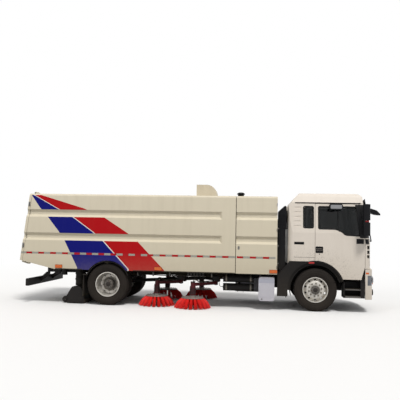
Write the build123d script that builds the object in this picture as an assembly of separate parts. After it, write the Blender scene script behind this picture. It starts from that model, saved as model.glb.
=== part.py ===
from build123d import *
import os
from math import atan2, cos, degrees, radians, sin

# Millimetres. +X is forward, +Y the driver's left, +Z up. The ground is z = 0.

# Wheels and axles
wheelbase = 5000
rear_axle_x = -2155
front_axle_x = rear_axle_x + wheelbase
tyre_radius = 505
tyre_width = 275
bead_radius = 286
flange_radius = 298
front_wheel_y = 1011
rear_outer_y = 1062.5
twin_spacing = 310
rear_inner_y = rear_outer_y - twin_spacing
kingpin_y = 860
spindle_radius = 45
rear_spindle_radius = 50
running_clearance = 0.06

# Chassis
rail_outer = 430
rail_width = 80
rail_bottom = 720
rail_top = 970
rail_wall = 10
rail_rear_x = -3950
rail_front_x = 4100

# Body
body_half = 1240
body_wall = 60
body_bottom = 850
body_top = 2700
rear_low = (-4370, 1050)
rear_top = (-4173, 2700)
rear_kink = (-3493, 850)
rear_lean = (rear_top[0] - rear_low[0]) / (rear_top[1] - rear_low[1])
rear_slope = (rear_low[1] - rear_kink[1]) / (rear_low[0] - rear_kink[0])
hopper_front_x = 949
housing_rear_x = 964
housing_front_x = 1940
floor_bottom = 1100
floor_top = 1160
arch_radius = 580
groove_bands = ((1550, 1740), (2125, 2315))
groove_depth = 46
groove_run = 60
groove_end_x = 626
tailgate_thick = 60
tailgate_hinge = (-4143, 2738)
moving_gap = 8
gate_panels_y = ((-1120, -410), (-355, 355), (410, 1120))
gate_panels_z = ((1130, 1830), (1900, 2600))
hinge_ears_y = (-900, 0, 900)
hood_x = (-110, 410)
hood_top = 3050
hood_half = 260
rain_cap_centre = (1045, -500)
hopper_markers_x = (-3373, -904)
housing_markers_x = (1851,)
tail_lamp_box = ((-1200, -900), (450, 570))

# Tipping
tip_pivot = (-3830, 985)
tip_tube_radius = 40
barrel_pivot = (-1855, 775)
rod_eye = (-505, 1040)
cylinder_y = 250

# Cab
cab_half = 1150
cab_wall = 50
cab_rear_low = (2190, 700)
cab_rear_corner = 140
cab_floor_bottom = 1100
cab_floor_top = 1150
cab_nose_bottom = 1030
gutter_z = 2570
sill_z = 770
door_rear_x = 2831
door_front_x = 3990
windscreen_foot_z = 1640
windscreen_lean = 0.17
arch_cut_radius = 690
arch_flare_radius = 684
arch_liner_radius = 587
door_foot = (3911, 800)
rib_table = [(1985 + 110 * k, 2027 + 110 * k) for k in range(5)]
vent_table = ((1275, 1352), (1378, 1458), (1484, 1572))
door_window = (  # x, z, corner radius
    (2912, 1949, 40), (3341, 1945, 60), (3525, 1810, 60), (3885, 1792, 40), (3790, 2480, 60),
    (2912, 2480, 40),
)
quarter_window = ((2560, 1968, 70), (2790, 1968, 30), (2790, 2480, 30), (2560, 2480, 70))

# Suction gear
nozzle_x = -2980
duct_y = 700
duct_radius = 120
caster_radius = 85

# Brush gear: side, pivot and brush centre of the front and rear arm
brush_radius = 455
brush_plate_radius = 275
tuft_count = 24
arm_table = {
    # name: pivot x, pivot y, brush x, brush y
    "front": (445, 500, -65, 1130),
    "rear": (-455, 350, -985, 850),
}


def block(x, y, z):
    size = (x[1] - x[0], y[1] - y[0], z[1] - z[0])
    return Pos(x[0], y[0], z[0]) * Box(*size, align=(Align.MIN, Align.MIN, Align.MIN))


def bar(start, end, radius):
    start, end = Vector(start), Vector(end)
    return extrude(Plane(origin=start, z_dir=end - start) * Circle(radius), (end - start).length)


def outline(*corners):
    """Closed outline through (a, b) corners; a third number rounds the corner."""
    face = Polygon(*[corner[:2] for corner in corners], align=None)
    for corner in corners:
        if len(corner) == 3:
            vertex = face.vertices().sort_by_distance((corner[0], corner[1], 0))[0]
            face = fillet(vertex, corner[2])
    return face


def side_prism(face, y):
    return Pos(0, y[0], 0) * extrude(Plane.XZ * face, y[1] - y[0], dir=(0, 1, 0))


def plan_prism(face, z):
    return Pos(0, 0, z[0]) * extrude(face, z[1] - z[0], dir=(0, 0, 1))


def cross_prism(face, x):
    return Pos(x[0], 0, 0) * extrude(Plane.YZ * face, x[1] - x[0], dir=(1, 0, 0))


def left(piece):
    return mirror(piece, about=Plane.XZ)


def both_sides(piece):
    return piece + left(piece)


# ---------------------------------------------------------------- wheels
def tyre(y):
    """Section of a tyre: half of its corners as (distance from the middle, radius), outward from the bead."""
    half = [
        (105, bead_radius), (105, 300), (120, 302), (132, 345), (tyre_width / 2, 396), (133, 446),
        (124, 478), (104, 501), (62, tyre_radius),
    ]
    return Polygon(*[(y + a, r) for a, r in half], *[(y - a, r) for a, r in reversed(half)], align=None)


def tyre_solid(y, x):
    section = Plane(origin=(x, 0, tyre_radius), x_dir=(0, -1, 0), z_dir=(1, 0, 0)) * tyre(y)
    return revolve(section, Axis((x, 0, tyre_radius), (0, 1, 0)))


def rim_solid(section, x):
    face = Polygon(*section, align=None)
    placed = Plane(origin=(x, 0, tyre_radius), x_dir=(0, -1, 0), z_dir=(1, 0, 0)) * face
    return revolve(placed, Axis((x, 0, tyre_radius), (0, 1, 0)))


def hand_holes(x, y, pitch_radius, hole_radius, count=10):
    holes = []
    for k in range(count):
        angle = radians(360 / count * (k + 0.5))
        centre = (x + pitch_radius * cos(angle), tyre_radius + pitch_radius * sin(angle))
        holes.append(bar((centre[0], -y[0], centre[1]), (centre[0], -y[1], centre[1]), hole_radius))
    return holes


def front_rim():
    y, flange, seat = front_wheel_y, flange_radius, bead_radius
    bore = spindle_radius + running_clearance
    section = [
        (y - 118, flange), (y - 106, flange), (y - 106, seat), (y + 106, seat), (y + 106, flange),
        (y + 118, flange), (y + 118, 280), (y + 30, 270), (y + 84, 205), (y + 92, 175), (y + 92, 112),
        (y + 128, 104), (y + 136, 60), (y + 136, 0), (y + 60, 0), (y + 60, bore), (y - 50, bore),
        (y - 50, 205), (y + 20, 205), (y + 20, 118), (y + 78, 118), (y + 78, 172), (y + 70, 200),
        (y + 14, 268), (y - 118, 280),
    ]
    rim = rim_solid(section, front_axle_x)
    for hole in hand_holes(front_axle_x, (y - 5, y + 125), 236, 24):
        rim -= hole
    return rim


def rear_rims():
    out, inn, mid = rear_outer_y, rear_inner_y, (rear_outer_y + rear_inner_y) / 2
    flange, seat, bore = flange_radius, bead_radius, rear_spindle_radius + running_clearance
    section = [
        (out - 118, flange), (out - 106, flange), (out - 106, seat), (out + 106, seat), (out + 106, flange),
        (out + 118, flange), (out + 118, 279), (mid + 84, 267), (mid + 19, 232), (mid + 12, 205),
        (mid + 12, 126), (mid + 170, 118), (mid + 190, 96), (mid + 190, 0), (mid + 92, 0), (mid + 92, bore),
        (inn - 122, bore), (inn - 122, 205), (mid - 12, 205), (mid - 19, 232), (mid - 84, 267),
        (inn - 118, 279), (inn - 118, flange), (inn - 106, flange), (inn - 106, seat), (inn + 106, seat),
        (inn + 106, flange), (inn + 118, flange), (inn + 118, 281), (mid, 262), (out - 118, 281),
    ]
    rims = rim_solid(section, rear_axle_x)
    for hole in hand_holes(rear_axle_x, (mid - 100, mid + 100), 219, 14):
        rims -= hole
    return rims


def wheels():
    front_tyre = tyre_solid(front_wheel_y, front_axle_x)
    rear_tyres = [tyre_solid(y, rear_axle_x) for y in (rear_inner_y, rear_outer_y)]
    front, rear = front_rim(), rear_rims()
    return {
        "tyre_front_right": front_tyre,
        "tyre_front_left": left(front_tyre),
        "rim_front_right": front,
        "rim_front_left": left(front),
        "tyres_rear_right": Compound(rear_tyres),
        "tyres_rear_left": Compound([left(one) for one in rear_tyres]),
        "rims_rear_right": rear,
        "rims_rear_left": left(rear),
    }


# ---------------------------------------------------------------- axles
def front_axle():
    beam = outline(
        (-kingpin_y, 445), (-690, 445), (-560, 360, 60), (560, 360, 60), (690, 445), (kingpin_y, 445),
        (kingpin_y, 555), (650, 555, 60), (530, 430, 60), (-530, 430, 60), (-650, 555, 60), (-kingpin_y, 555),
    )
    axle = cross_prism(beam, (front_axle_x - 45, front_axle_x + 45))
    eye = bar((front_axle_x, -kingpin_y, 445), (front_axle_x, -kingpin_y, 555), 60)
    pin = bar((front_axle_x, -kingpin_y, 395), (front_axle_x, -kingpin_y, 615), 25)
    return axle + both_sides(eye + pin)


def knuckle_right():
    x, y, z = front_axle_x, -kingpin_y, tyre_radius
    ears = []
    for low, high in ((400, 437), (563, 610)):
        ear = plan_prism(Pos(x, y) * Circle(58), (low, high))
        ear += block((x - 58, x + 58), (y - 85, y), (low, high))
        ears.append(ear)
    post = block((x - 58, x + 58), (y - 93, y - 68), (400, 610))
    backing = bar((x, y - 88, z), (x, y - 96, z), 200)
    spindle = bar((x, y - 90, z), (x, y - 205, z), spindle_radius)
    arm = block((x - 210, x - 40), (y - 92, y - 70), (415, 455))
    body = ears[0] + ears[1] + post + backing + spindle + arm
    return body - bar((x, y, 380), (x, y, 640), 25 + running_clearance)


def rear_axle():
    x, z = rear_axle_x, tyre_radius
    housing = bar((x, -610, z), (x, 610, z), 70)
    bowl = bar((x - 40, 0, z), (x + 150, 0, z + 6), 185)
    nose_plane = Plane(origin=(x + 130, 0, z + 5), z_dir=(1, 0, 0.04))
    nose = nose_plane * Cone(150, 70, 150, align=(Align.CENTER, Align.CENTER, Align.MIN))
    spindle = bar((x, -rear_outer_y + 65, z), (x, rear_outer_y - 65, z), rear_spindle_radius)
    return housing + bowl + nose + spindle


def spring(x, y, low, high, half_length):
    """Leaf pack: low is the seat on the axle, high the eyes' height."""
    rise, leaf = high - low, 18
    pieces = []
    for k in range(4):
        reach = half_length - 120 * (3 - k)
        end = low + rise * (reach / half_length) ** 2 + leaf * k
        bottom = ThreePointArc((x - reach, end), (x, low + leaf * k), (x + reach, end))
        top = ThreePointArc((x - reach, end + leaf), (x, low + leaf * (k + 1)), (x + reach, end + leaf))
        sides = [Line(bottom @ 1, top @ 1), Line(top @ 0, bottom @ 0)]
        pieces.append(side_prism(make_face(Wire([bottom, sides[0], top, sides[1]])), y))
    pack = pieces[0]
    for piece in pieces[1:]:
        pack += piece
    for end_x in (x - half_length + 20, x + half_length - 20):
        pack += block((end_x - 25, end_x + 25), y, (high + 3 * leaf - 20, rail_bottom))
    return pack


def leaf_springs():
    front = spring(front_axle_x, (-rail_outer - 5, -rail_outer + 75), 430, 560, 700)
    rear = spring(rear_axle_x, (-545, -455), 575, 625, 700)
    for end_x in (rear_axle_x - 680, rear_axle_x + 680):
        rear += block((end_x - 25, end_x + 25), (-545, -rail_outer), (rail_bottom - 30, rail_bottom + 60))
    return Compound([front, left(front), rear, left(rear)])


def drive_shaft():
    start, end = (rear_axle_x + 282, 0, tyre_radius + 12), (2322, 0, 760)
    return bar(start, end, 45)


# ---------------------------------------------------------------- chassis
def chassis_rails():
    flange_y = (-rail_outer, -rail_outer + rail_width)
    rail = block((rail_rear_x, rail_front_x), (-rail_outer, -rail_outer + rail_wall), (rail_bottom, rail_top))
    for low in (rail_bottom, rail_top - rail_wall):
        rail += block((rail_rear_x, rail_front_x), flange_y, (low, low + rail_wall))
    for x in (2400, 3850):  # cab mounts
        rail += block((x, x + 120), flange_y, (rail_top, cab_floor_bottom))
    rail += block((4082, rail_front_x), (-rail_outer + 5, -rail_outer + rail_width), (760, 930))
    rail += block((4082, 4180), (-rail_outer + 20, -rail_outer + rail_width), (760, 930))
    for pivot_x, pivot_y, _, _ in arm_table.values():  # brush arm brackets and their pins
        reach = (-max(pivot_y, rail_outer) - 70, -rail_outer + rail_width)
        rail += block((pivot_x - 80, pivot_x + 80), reach, (610, rail_bottom))
        rail += bar((pivot_x, -pivot_y, 500), (pivot_x, -pivot_y, 612), 24)
    x, z = tip_pivot
    rail += bar((x, -530, z), (x, -rail_outer + rail_width, z), tip_tube_radius)
    return Compound([rail, left(rail)])


def cross_members():
    inner = rail_outer - rail_wall
    members = []
    for x, low in ((rail_rear_x + 10, 740), (-3050, 740), (-300, 760), (1300, 800), (2240, 840), (4000, 740)):
        members.append(block((x, x + 80), (-inner, inner), (low, 950)))
    x, z = barrel_pivot
    members.append(bar((x, -inner, z), (x, inner, z), 38))
    for low in (790, 880):  # rear towing jaw: two ears with a vertical pin hole
        members[0] += block((rail_rear_x - 110, rail_rear_x + 12), (-70, 70), (low, low + 25))
    members[0] -= bar((rail_rear_x - 65, 0, 780), (rail_rear_x - 65, 0, 915), 20)
    return Compound(members)


def rear_bumper():
    beam = outline((-4200, 420, 20), (-4120, 420), (-4120, 600), (-4200, 600, 20))
    bumper = side_prism(beam, (-body_half, body_half))
    bumper -= both_sides(block((-4205, -4180), *tail_lamp_box))
    stay = outline((-4120, 590), (-4120, 480), (-3900, 620), (-3900, rail_bottom), (-3980, rail_bottom))
    return bumper + both_sides(side_prism(stay, (-rail_outer, -rail_outer + 60)))


def tank(x, y, z, radius):
    face = outline((y[0], z[0], radius), (y[1], z[0], radius), (y[1], z[1], radius), (y[0], z[1], radius))
    return cross_prism(face, x)


def fuel_tank():
    body = tank((900, 1880), (540, 1150), (250, 800), 110)
    for x in (1080, 1640):
        body += block((x, x + 60), (rail_outer, 545), (520, 800))
    return body


def side_tank():
    face = outline((1512, 217, 60), (1884, 217, 60), (1884, 780, 60), (1512, 780, 60))
    body = side_prism(face, (-1180, -560))
    return body + block((1640, 1760), (-565, -rail_outer), (rail_bottom, 770))


def air_tanks():
    group = []
    for z in (480, 690):
        vessel = bar((640, -640, z), (1400, -640, z), 92)
        vessel += block((980, 1060), (-640, -rail_outer), (z + 30, z + 60))
        group.append(vessel)
    group[0] += block((980, 1060), (-rail_outer - 20, -rail_outer), (480, 770))
    return group[0] + group[1]


def arc_band(x, radii, degrees_from, degrees_to, y):
    """Curved sheet about an axle between two radii and two angles up from straight ahead."""
    inner, outer = radii
    angles = [radians(a) for a in (degrees_from, (degrees_from + degrees_to) / 2, degrees_to)]
    inside = [(x + inner * cos(a), tyre_radius + inner * sin(a)) for a in angles]
    outside = [(x + outer * cos(a), tyre_radius + outer * sin(a)) for a in reversed(angles)]
    ends = [Line(inside[2], outside[0]), Line(outside[2], inside[0])]
    return side_prism(make_face(Wire([ThreePointArc(*inside), ends[0], ThreePointArc(*outside), ends[1]])), y)


def mudguards():
    rear_y = (-1230, -620)
    rear = arc_band(rear_axle_x, (545, 559), 25, 155, rear_y)
    rear += block((-2760, -2745), (-1200, -620), (240, 740)) + block((-2765, -2650), rear_y, (718, 744))
    stay_x = (rear_axle_x - 30, rear_axle_x + 30)
    rear += block(stay_x, (-625, -440), (1020, 1050)) + block(stay_x, (-470, -440), (930, 1050))
    rear += block(stay_x, (-470, -rail_outer), (930, 965))
    liner = (arch_liner_radius, arch_liner_radius + 7)
    front = arc_band(front_axle_x, liner, 19, 195, (-1148, -760))
    front += arc_band(front_axle_x, (arch_liner_radius, arch_flare_radius), 19, 182, (-1112, -1102))
    front += arc_band(front_axle_x, (655, arch_flare_radius), 19, 182, (-1158, -1102))
    flap = outline(
        (2700, 1112), (2700, 1168), (2235, 1168), (2190, 1112), (1955, 830), (1945, 340), (2190, 340),
        (2260, 700),
    )
    wheel_room = bar((front_axle_x, -1200, tyre_radius), (front_axle_x, -1050, tyre_radius), 655)
    front += side_prism(flap, (-1158, -1102)) - wheel_room
    front += block((2420, 2480), (-765, -rail_outer), (930, 965))
    return Compound([rear, left(rear), front, left(front)])


# ---------------------------------------------------------------- sweeping gear
def suction_nozzle():
    skin = []
    for wall, low in ((0, 20), (20, 0)):
        foot, top = 205 - wall, 420 - wall
        profile = outline(
            (nozzle_x - foot, low), (nozzle_x - foot, 250 - wall / 4), (nozzle_x - 100 + wall / 2, top, 60),
            (nozzle_x + 100 - wall / 2, top, 60), (nozzle_x + foot, 250 - wall / 4), (nozzle_x + foot, low),
        )
        skin.append(side_prism(profile, (-1050 + wall, 1050 - wall)))
    nozzle = skin[0] - skin[1]
    mouth = bar((nozzle_x, -duct_y, 380), (nozzle_x, -duct_y, 450), duct_radius - 10)
    x, z = nozzle_x - 282, caster_radius + 5
    caster = bar((x, -965, z), (x, -915, z), caster_radius) + bar((x, -985, z), (x, -895, z), 18)
    fork = outline((x - 18, z), (x, z - 18), (x + 82, 150), (x + 82, 220), (x + 42, 220))
    for y in (-985, -907):
        caster += side_prism(fork, (y, y + 12))
    x, y = nozzle_x + 130, -405  # lifting cylinder
    lift = bar((x, y, 340), (x, y, 560), 26) - skin[1] + bar((x, y, 550), (x, y, rail_bottom), 14)
    return nozzle - both_sides(mouth) + both_sides(caster + lift)


def suction_ducts():
    duct = bar((nozzle_x, -duct_y, 425), (nozzle_x, -duct_y, 1085), duct_radius)
    for z in (560, 700, 960):  # bands of the flexible joint
        duct += bar((nozzle_x, -duct_y, z), (nozzle_x, -duct_y, z + 40), duct_radius + 12)
    duct -= bar((nozzle_x, -duct_y, 410), (nozzle_x, -duct_y, 1100), duct_radius - 10)
    inner_y = -duct_y + duct_radius - 5
    duct += block((-3010, -2950), (inner_y, -rail_outer), (760, 800))
    duct += block((-3010, -2950), (-470, -rail_outer), (740, 900))
    return Compound([duct, left(duct)])


def brush_arm(pivot_x, pivot_y, brush_x, brush_y):
    """Right-hand arm from the bracket's pin to the brush motor."""
    pivot, tip = Vector(pivot_x, -pivot_y, 0), Vector(brush_x, -brush_y, 0)
    along = tip - pivot
    middle = (pivot + tip) / 2
    angle = degrees(atan2(along.Y, along.X))
    boss = bar((pivot.X, pivot.Y, 510), (pivot.X, pivot.Y, 600), 55)
    beam = Pos(middle.X, middle.Y, 555) * Rot(0, 0, angle) * Box(along.length, 90, 70)
    motor = bar((tip.X, tip.Y, 300), (tip.X, tip.Y, 520), 68)
    motor += bar((tip.X, tip.Y, 500), (tip.X, tip.Y, 610), 52)
    arm = boss + beam + motor
    arm -= bar((pivot.X, pivot.Y, 490), (pivot.X, pivot.Y, 640), 24 + running_clearance)
    return arm - bar((tip.X, tip.Y, 290), (tip.X, tip.Y, 380), 20 + running_clearance)


def brush(brush_x, brush_y):
    centre = (brush_x, -brush_y)
    disc = bar((*centre, 228), (*centre, 262), brush_plate_radius)
    disc += bar((*centre, 255), (*centre, 292), 80) + bar((*centre, 285), (*centre, 370), 20)
    tuft_side = outline((195, 236), (258, 236), (brush_radius, 6), (brush_radius - 75, 6))
    for k in range(tuft_count):
        tuft = side_prism(tuft_side, (-19, 19))
        disc += Pos(*centre, 0) * Rot(0, 0, 360 / tuft_count * k) * tuft
    return disc


def brush_gear():
    gear = {}
    for name, (pivot_x, pivot_y, brush_x, brush_y) in arm_table.items():
        arm, head = brush_arm(pivot_x, pivot_y, brush_x, brush_y), brush(brush_x, brush_y)
        gear[f"brush_arm_{name}_right"], gear[f"brush_arm_{name}_left"] = arm, left(arm)
        gear[f"brush_{name}_right"], gear[f"brush_{name}_left"] = head, left(head)
    return gear


# ---------------------------------------------------------------- body
def body_section():
    return outline(
        (-body_half, body_bottom - 60), (body_half, body_bottom - 60), (body_half, body_top, 55),
        (-body_half, body_top, 55),
    )


def side_groove(x, band, taper):
    """Pressed groove in the right-hand skin, running out rearward and tapered at its front end if asked."""
    low, high = band
    out, deep = -body_half - 5, -body_half + groove_depth
    section = outline((out, low - 5), (deep, low + groove_run), (deep, high - groove_run), (out, high + 5))
    groove = cross_prism(section, x)
    if taper:
        plan = outline((x[0] - 5, out - 5), (x[0] - 5, deep), (x[1] - groove_run, deep), (x[1] + 10, out - 5))
        groove = groove & plan_prism(plan, (low - 10, high + 10))
    return groove


def grooved(solid, x, taper):
    for band in groove_bands:
        solid -= both_sides(side_groove(x, band, taper))
    return solid


def hopper():
    shift = tailgate_thick + moving_gap
    low_x = rear_low[0] + shift
    low_z = rear_kink[1] + rear_slope * (low_x - rear_kink[0])
    side = outline(
        (low_x - rear_lean * (rear_low[1] - low_z), low_z), rear_kink, (hopper_front_x, body_bottom),
        (hopper_front_x, body_top), (rear_top[0] + shift, body_top),
    )
    solid = side_prism(side, (-body_half, body_half)) & cross_prism(body_section(), (-4500, 1000))
    inside = body_half - body_wall
    solid -= block((-4500, hopper_front_x - body_wall), (-inside, inside), (floor_top, body_top - body_wall))
    solid -= block((-4500, hopper_front_x + 1), (-inside, inside), (0, floor_bottom))
    solid -= bar((rear_axle_x, -1300, tyre_radius), (rear_axle_x, 1300, tyre_radius), arch_radius)
    solid = grooved(solid, (-4500, groove_end_x), True)
    rail_y = (-rail_outer, -rail_outer + rail_width)
    beam = block((-3700, hopper_front_x - body_wall), rail_y, (rail_top + 6, floor_bottom))
    x, z = tip_pivot
    lug = outline(
        (x - 110, floor_bottom), (x - 68, z - 68, 60), (x + 68, z - 68, 60), (x + 110, floor_bottom),
    )
    tube_hole = bar((x, -540, z), (x, -440, z), tip_tube_radius + running_clearance)
    lugs = side_prism(lug, (-510, -450)) - tube_hole
    solid += both_sides(beam + lugs)
    # saddles over the cylinder rods' pins, open forward and down where the pin drifts
    x, z = rod_eye
    saddle = outline((x - 75, floor_bottom), (x - 75, z + 10), (x - 20, z - 34), (x + 62, floor_bottom - 12),
                     (x + 62, floor_bottom))
    mouth = outline((x, z + 27), (x + 90, z + 27), (x + 90, z - 60), (x, z - 60))
    for y in (-cylinder_y - 62, -cylinder_y + 38):
        cut = bar((x, y - 5, z), (x, y + 30, z), 27) + side_prism(mouth, (y - 5, y + 30))
        solid += both_sides(side_prism(saddle, (y, y + 24)) - cut)
    ear_side = outline(
        (-4167, 2716), (-4108, 2714), (-4100, 2690), (-3985, 2690), (-4115, 2762, 20), (-4167, 2762, 20),
    )
    solid += block((-1284, -955), (-260, 260), (body_top, body_top + 28))  # roof hatch
    solid += both_sides(block((-4192, -4150), (-inside, -1095), (958, floor_bottom)))  # hooks' catches
    for y in hinge_ears_y:
        for offset in (-62, 38):
            solid += side_prism(ear_side, (y + offset, y + offset + 24))
    x, z = tailgate_hinge
    return plates(solid - bar((x, -1000, z), (x, 1000, z), 10 + running_clearance))


def plates(box):
    """The hopper cut where its plates are welded: side walls, roof, front wall, floor, and what hangs below."""
    inside, front = body_half - body_wall, hopper_front_x - body_wall
    middle, rear, high = (-inside, inside), -4500, 2900
    zones = [
        block((rear, 1000), (-body_half - 5, -inside), (0, high)),
        block((rear, 1000), (inside, body_half + 5), (0, high)),
        block((rear, 1000), middle, (body_top - body_wall, high)),
        block((front, 1000), middle, (0, body_top - body_wall)),
        block((rear, front), middle, (floor_bottom, body_top - body_wall)),
        block((rear, front), middle, (0, floor_bottom)),
    ]
    return Compound([plate for zone in zones for plate in (box & zone).solids()])


def exhaust_hood():
    """Elbow of the fan's outlet, open to the rear."""
    rear, front = hood_x
    skin = []
    for inset in (0, 15):
        side = outline(
            (rear, body_top), (rear, hood_top - inset), (front - inset, hood_top - inset, 260 - inset),
            (front - inset, body_top),
        )
        skin.append(side_prism(side, (-hood_half + inset, hood_half - inset)))
    foot = block((rear, front - 5), (-hood_half + 5, hood_half - 5), (body_top, body_top + 12))
    lip = skin[0] & block((rear, rear + 25), (-300, 300), (body_top, hood_top))
    lip -= block((rear - 5, rear + 30), (-hood_half + 28, hood_half - 28), (body_top - 5, hood_top - 28))
    return skin[0] - skin[1] + foot + lip


def tailgate():
    low_x, top_x = rear_low[0] + tailgate_thick, rear_top[0] + tailgate_thick
    low_z = rear_low[1] + rear_slope * tailgate_thick
    side = outline(rear_low, (low_x, low_z), (top_x, rear_top[1]), rear_top)
    gate = side_prism(side, (-body_half, body_half)) & cross_prism(body_section(), (-4500, -4000))
    gate = grooved(gate, (-4500, 0), True)
    for low, high in gate_panels_z:  # sunk panels between the stiffeners
        at_low, at_high = [rear_low[0] + rear_lean * (z - rear_low[1]) for z in (low, high)]
        panel = outline(
            (at_low - 5, low), (at_low + 24, low + 20), (at_high + 24, high - 20), (at_high - 5, high),
        )
        for y in gate_panels_y:
            gate -= side_prism(panel, y)
    x, z = tailgate_hinge
    lug = outline((x - 29, 2690), (x + 25, 2690), (x + 21, z + 20, 18), (x - 21, z + 20, 18))
    for y in hinge_ears_y:
        gate += side_prism(lug, (y - 30, y + 30)) + bar((x, y - 66, z), (x, y + 66, z), 10)
    hook = outline((-4352, 1060), (-4352, 1000), (-4200, 955), (-4200, 985), (-4308, 1014), (-4318, 1045))
    return gate + both_sides(side_prism(hook, (-1145, -1095)))


def equipment_housing():
    x = (housing_rear_x, housing_front_x)
    inside = body_half - body_wall
    solid = cross_prism(body_section(), x) - block((x[0] - 5, x[1] + 5), (-1300, 1300), (0, body_bottom))
    solid -= block((x[0] + body_wall, x[1] - body_wall), (-inside, inside), (0, body_top - body_wall))
    solid = grooved(solid, (x[0] - 5, x[1] + 5), False)
    solid -= block((x[0] - 5, x[1] + 5), (-inside, inside), (0, rail_top + 6))
    for start in (1000, 1830):
        solid += block((start, start + 70), (-inside - 5, inside + 5), (rail_top, rail_top + 70))
    return solid


def rain_cap():
    x, y = rain_cap_centre
    cap = bar((x, y, body_top), (x, y, body_top + 60), 55)
    return cap + Pos(x, y, body_top + 55) * Cone(82, 52, 75, align=(Align.CENTER, Align.CENTER, Align.MIN))


def side_marker(x):
    return block((x - 88, x + 88), (-body_half - 18, -body_half), (body_bottom + 30, body_bottom + 105))


# ---------------------------------------------------------------- cab
def cab_form(inset):
    """Closed form of the cab, moved inward by the inset, from its side, plan and front outlines."""
    side = outline(
        cab_rear_low, (4400, 700), (4400, 2300), (3860, 2800, 180), (3300, 2852, 900), (2490, 2832, 120),
        (2325, 2650, 200), (2215, 2500, 60),
    )
    rear = outline(
        (cab_rear_low[0], -cab_half, cab_rear_corner), (4500, -cab_half), (4500, cab_half),
        (cab_rear_low[0], cab_half, cab_rear_corner),
    )
    front = outline(
        (-cab_half, 700), (cab_half, 700), (cab_half, 1850), (cab_half - 70, gutter_z),
        (cab_half - 170, 2800, 130), (0, 2852), (-cab_half + 170, 2800, 130), (-cab_half + 70, gutter_z),
        (-cab_half, 1850),
    )
    plan = outline(
        (1500, -cab_half), (4105, -cab_half, 150), (4190, -560, 900), (4205, 0, 4000), (4190, 560, 900),
        (4105, cab_half, 150), (1500, cab_half),
    )
    faces = [side, front, plan, rear]
    if inset:
        faces = [offset(face, -inset, kind=Kind.INTERSECTION) for face in faces]
    side, front, plan, rear = faces
    lower = plan_prism(plan, (600, windscreen_foot_z))
    upper = Pos(0, 0, windscreen_foot_z) * extrude(plan, 1320, dir=(-windscreen_lean, 0, 1))
    form = side_prism(side, (-1400, 1400)) & cross_prism(front, (2000, 4500)) & plan_prism(rear, (600, 3000))
    return form & (lower + upper)


def door_edge(gap):
    """Door outline in X and Z, shrunk by the gap."""
    return outline(
        (door_rear_x + gap, 600), (door_foot[0] - gap, 600), (door_foot[0] - gap, door_foot[1]),
        (door_front_x - gap, 1060), (door_front_x - gap, 1660), (3866 - gap, gutter_z - 20 - gap, 30),
        (door_rear_x + gap, gutter_z - 20 - gap, 30),
    )


def cab_pieces():
    outer, inner = cab_form(0), cab_form(cab_wall)
    room = inner - block((2000, 4500), (-1300, 1300), (0, cab_floor_top))
    skin_y = -cab_half + cab_wall
    shell = outer - room - block((2000, 4140), (skin_y, -skin_y), (0, cab_floor_bottom))
    shell -= block((2000, 4500), (-1300, 1300), (0, sill_z))
    shell -= block((2000, front_axle_x), (-1300, 1300), (0, cab_floor_bottom))
    arch = bar((front_axle_x, -1300, tyre_radius), (front_axle_x, -1095, tyre_radius), arch_cut_radius)
    shell -= both_sides(arch + block((2000, front_axle_x), (-1300, -1095), (0, 1174)))
    roof = shell & block((2000, 4500), (-1300, 1300), (gutter_z + 2, 3000))
    shell -= block((2000, 4500), (-1300, 1300), (gutter_z, 3000))
    side_zone = (-1300, -900)
    above_floor = block((2000, 4500), side_zone, (cab_floor_top + 8, 3000))
    slab = side_prism(door_edge(4), side_zone)
    door = shell & (slab & (above_floor + block((2000, 4500), (-1300, skin_y), (0, 3000))))
    gap_slab = side_prism(door_edge(-4), side_zone)
    above_gap = block((2000, 4500), side_zone, (cab_floor_top, 3000))
    shell -= both_sides(gap_slab & (above_gap + block((2000, 4500), (-1300, skin_y + 8), (0, 3000))))
    shell -= block((door_foot[0] - 60, 4500), (-1300, 1300), (0, cab_nose_bottom))
    door -= side_prism(outline(*door_window), side_zone)
    shell -= both_sides(side_prism(outline(*quarter_window), side_zone))
    screen = outline((-1010, 1690, 70), (1010, 1690, 70), (960, 2480, 90), (-960, 2480, 90))
    shell -= cross_prism(screen, (3700, 4500))
    rear_window = outline((-560, 1950, 50), (560, 1950, 50), (560, 2380, 50), (-560, 2380, 50))
    shell -= cross_prism(rear_window, (2150, 2450))
    for x, table, depth in (((2345, 2505), rib_table, 8), ((4035, 4100), vent_table, 22)):
        skin = outer - cab_form(depth)
        for band in table:
            shell -= both_sides(skin & block(x, side_zone, band))
    shell -= both_sides(block((2340, 2575), (-1200, skin_y - 36), (1568, 1632)))
    door -= block((2850, 3012), (-1200, -1132), (1385, 1522))  # handle in its pocket
    door += block((2845, 3017), (-1150, -1140), (1432, 1476))
    for k in range(5):  # grille recess: five slats below the screen
        shell -= block((4165, 4300), (-620, 620), (1130 + 90 * k, 1190 + 90 * k))
    pane = cab_form(16) - cab_form(24)
    glass = [
        pane & cross_prism(offset(screen, -1), (3700, 4500)),
        pane & cross_prism(offset(rear_window, -1), (2150, 2450)),
    ]
    quarter = pane & side_prism(offset(outline(*quarter_window), -1), side_zone)
    door_pane = pane & side_prism(offset(outline(*door_window), -1), side_zone)
    glass += [quarter, left(quarter)]
    return shell, roof, door, Compound([solid for piece in glass for solid in piece.solids()]), door_pane


def sun_visor():
    band = (cab_form(-58) - cab_form(-46)) & block((3800, 4300), (-1000, 1000), (2478, 2680))
    for y in (-700, 0, 700):
        band += (cab_form(-48) - cab_form(0)) & block((3900, 4300), (y - 12, y + 12), (2585, 2640))
    return band


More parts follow.
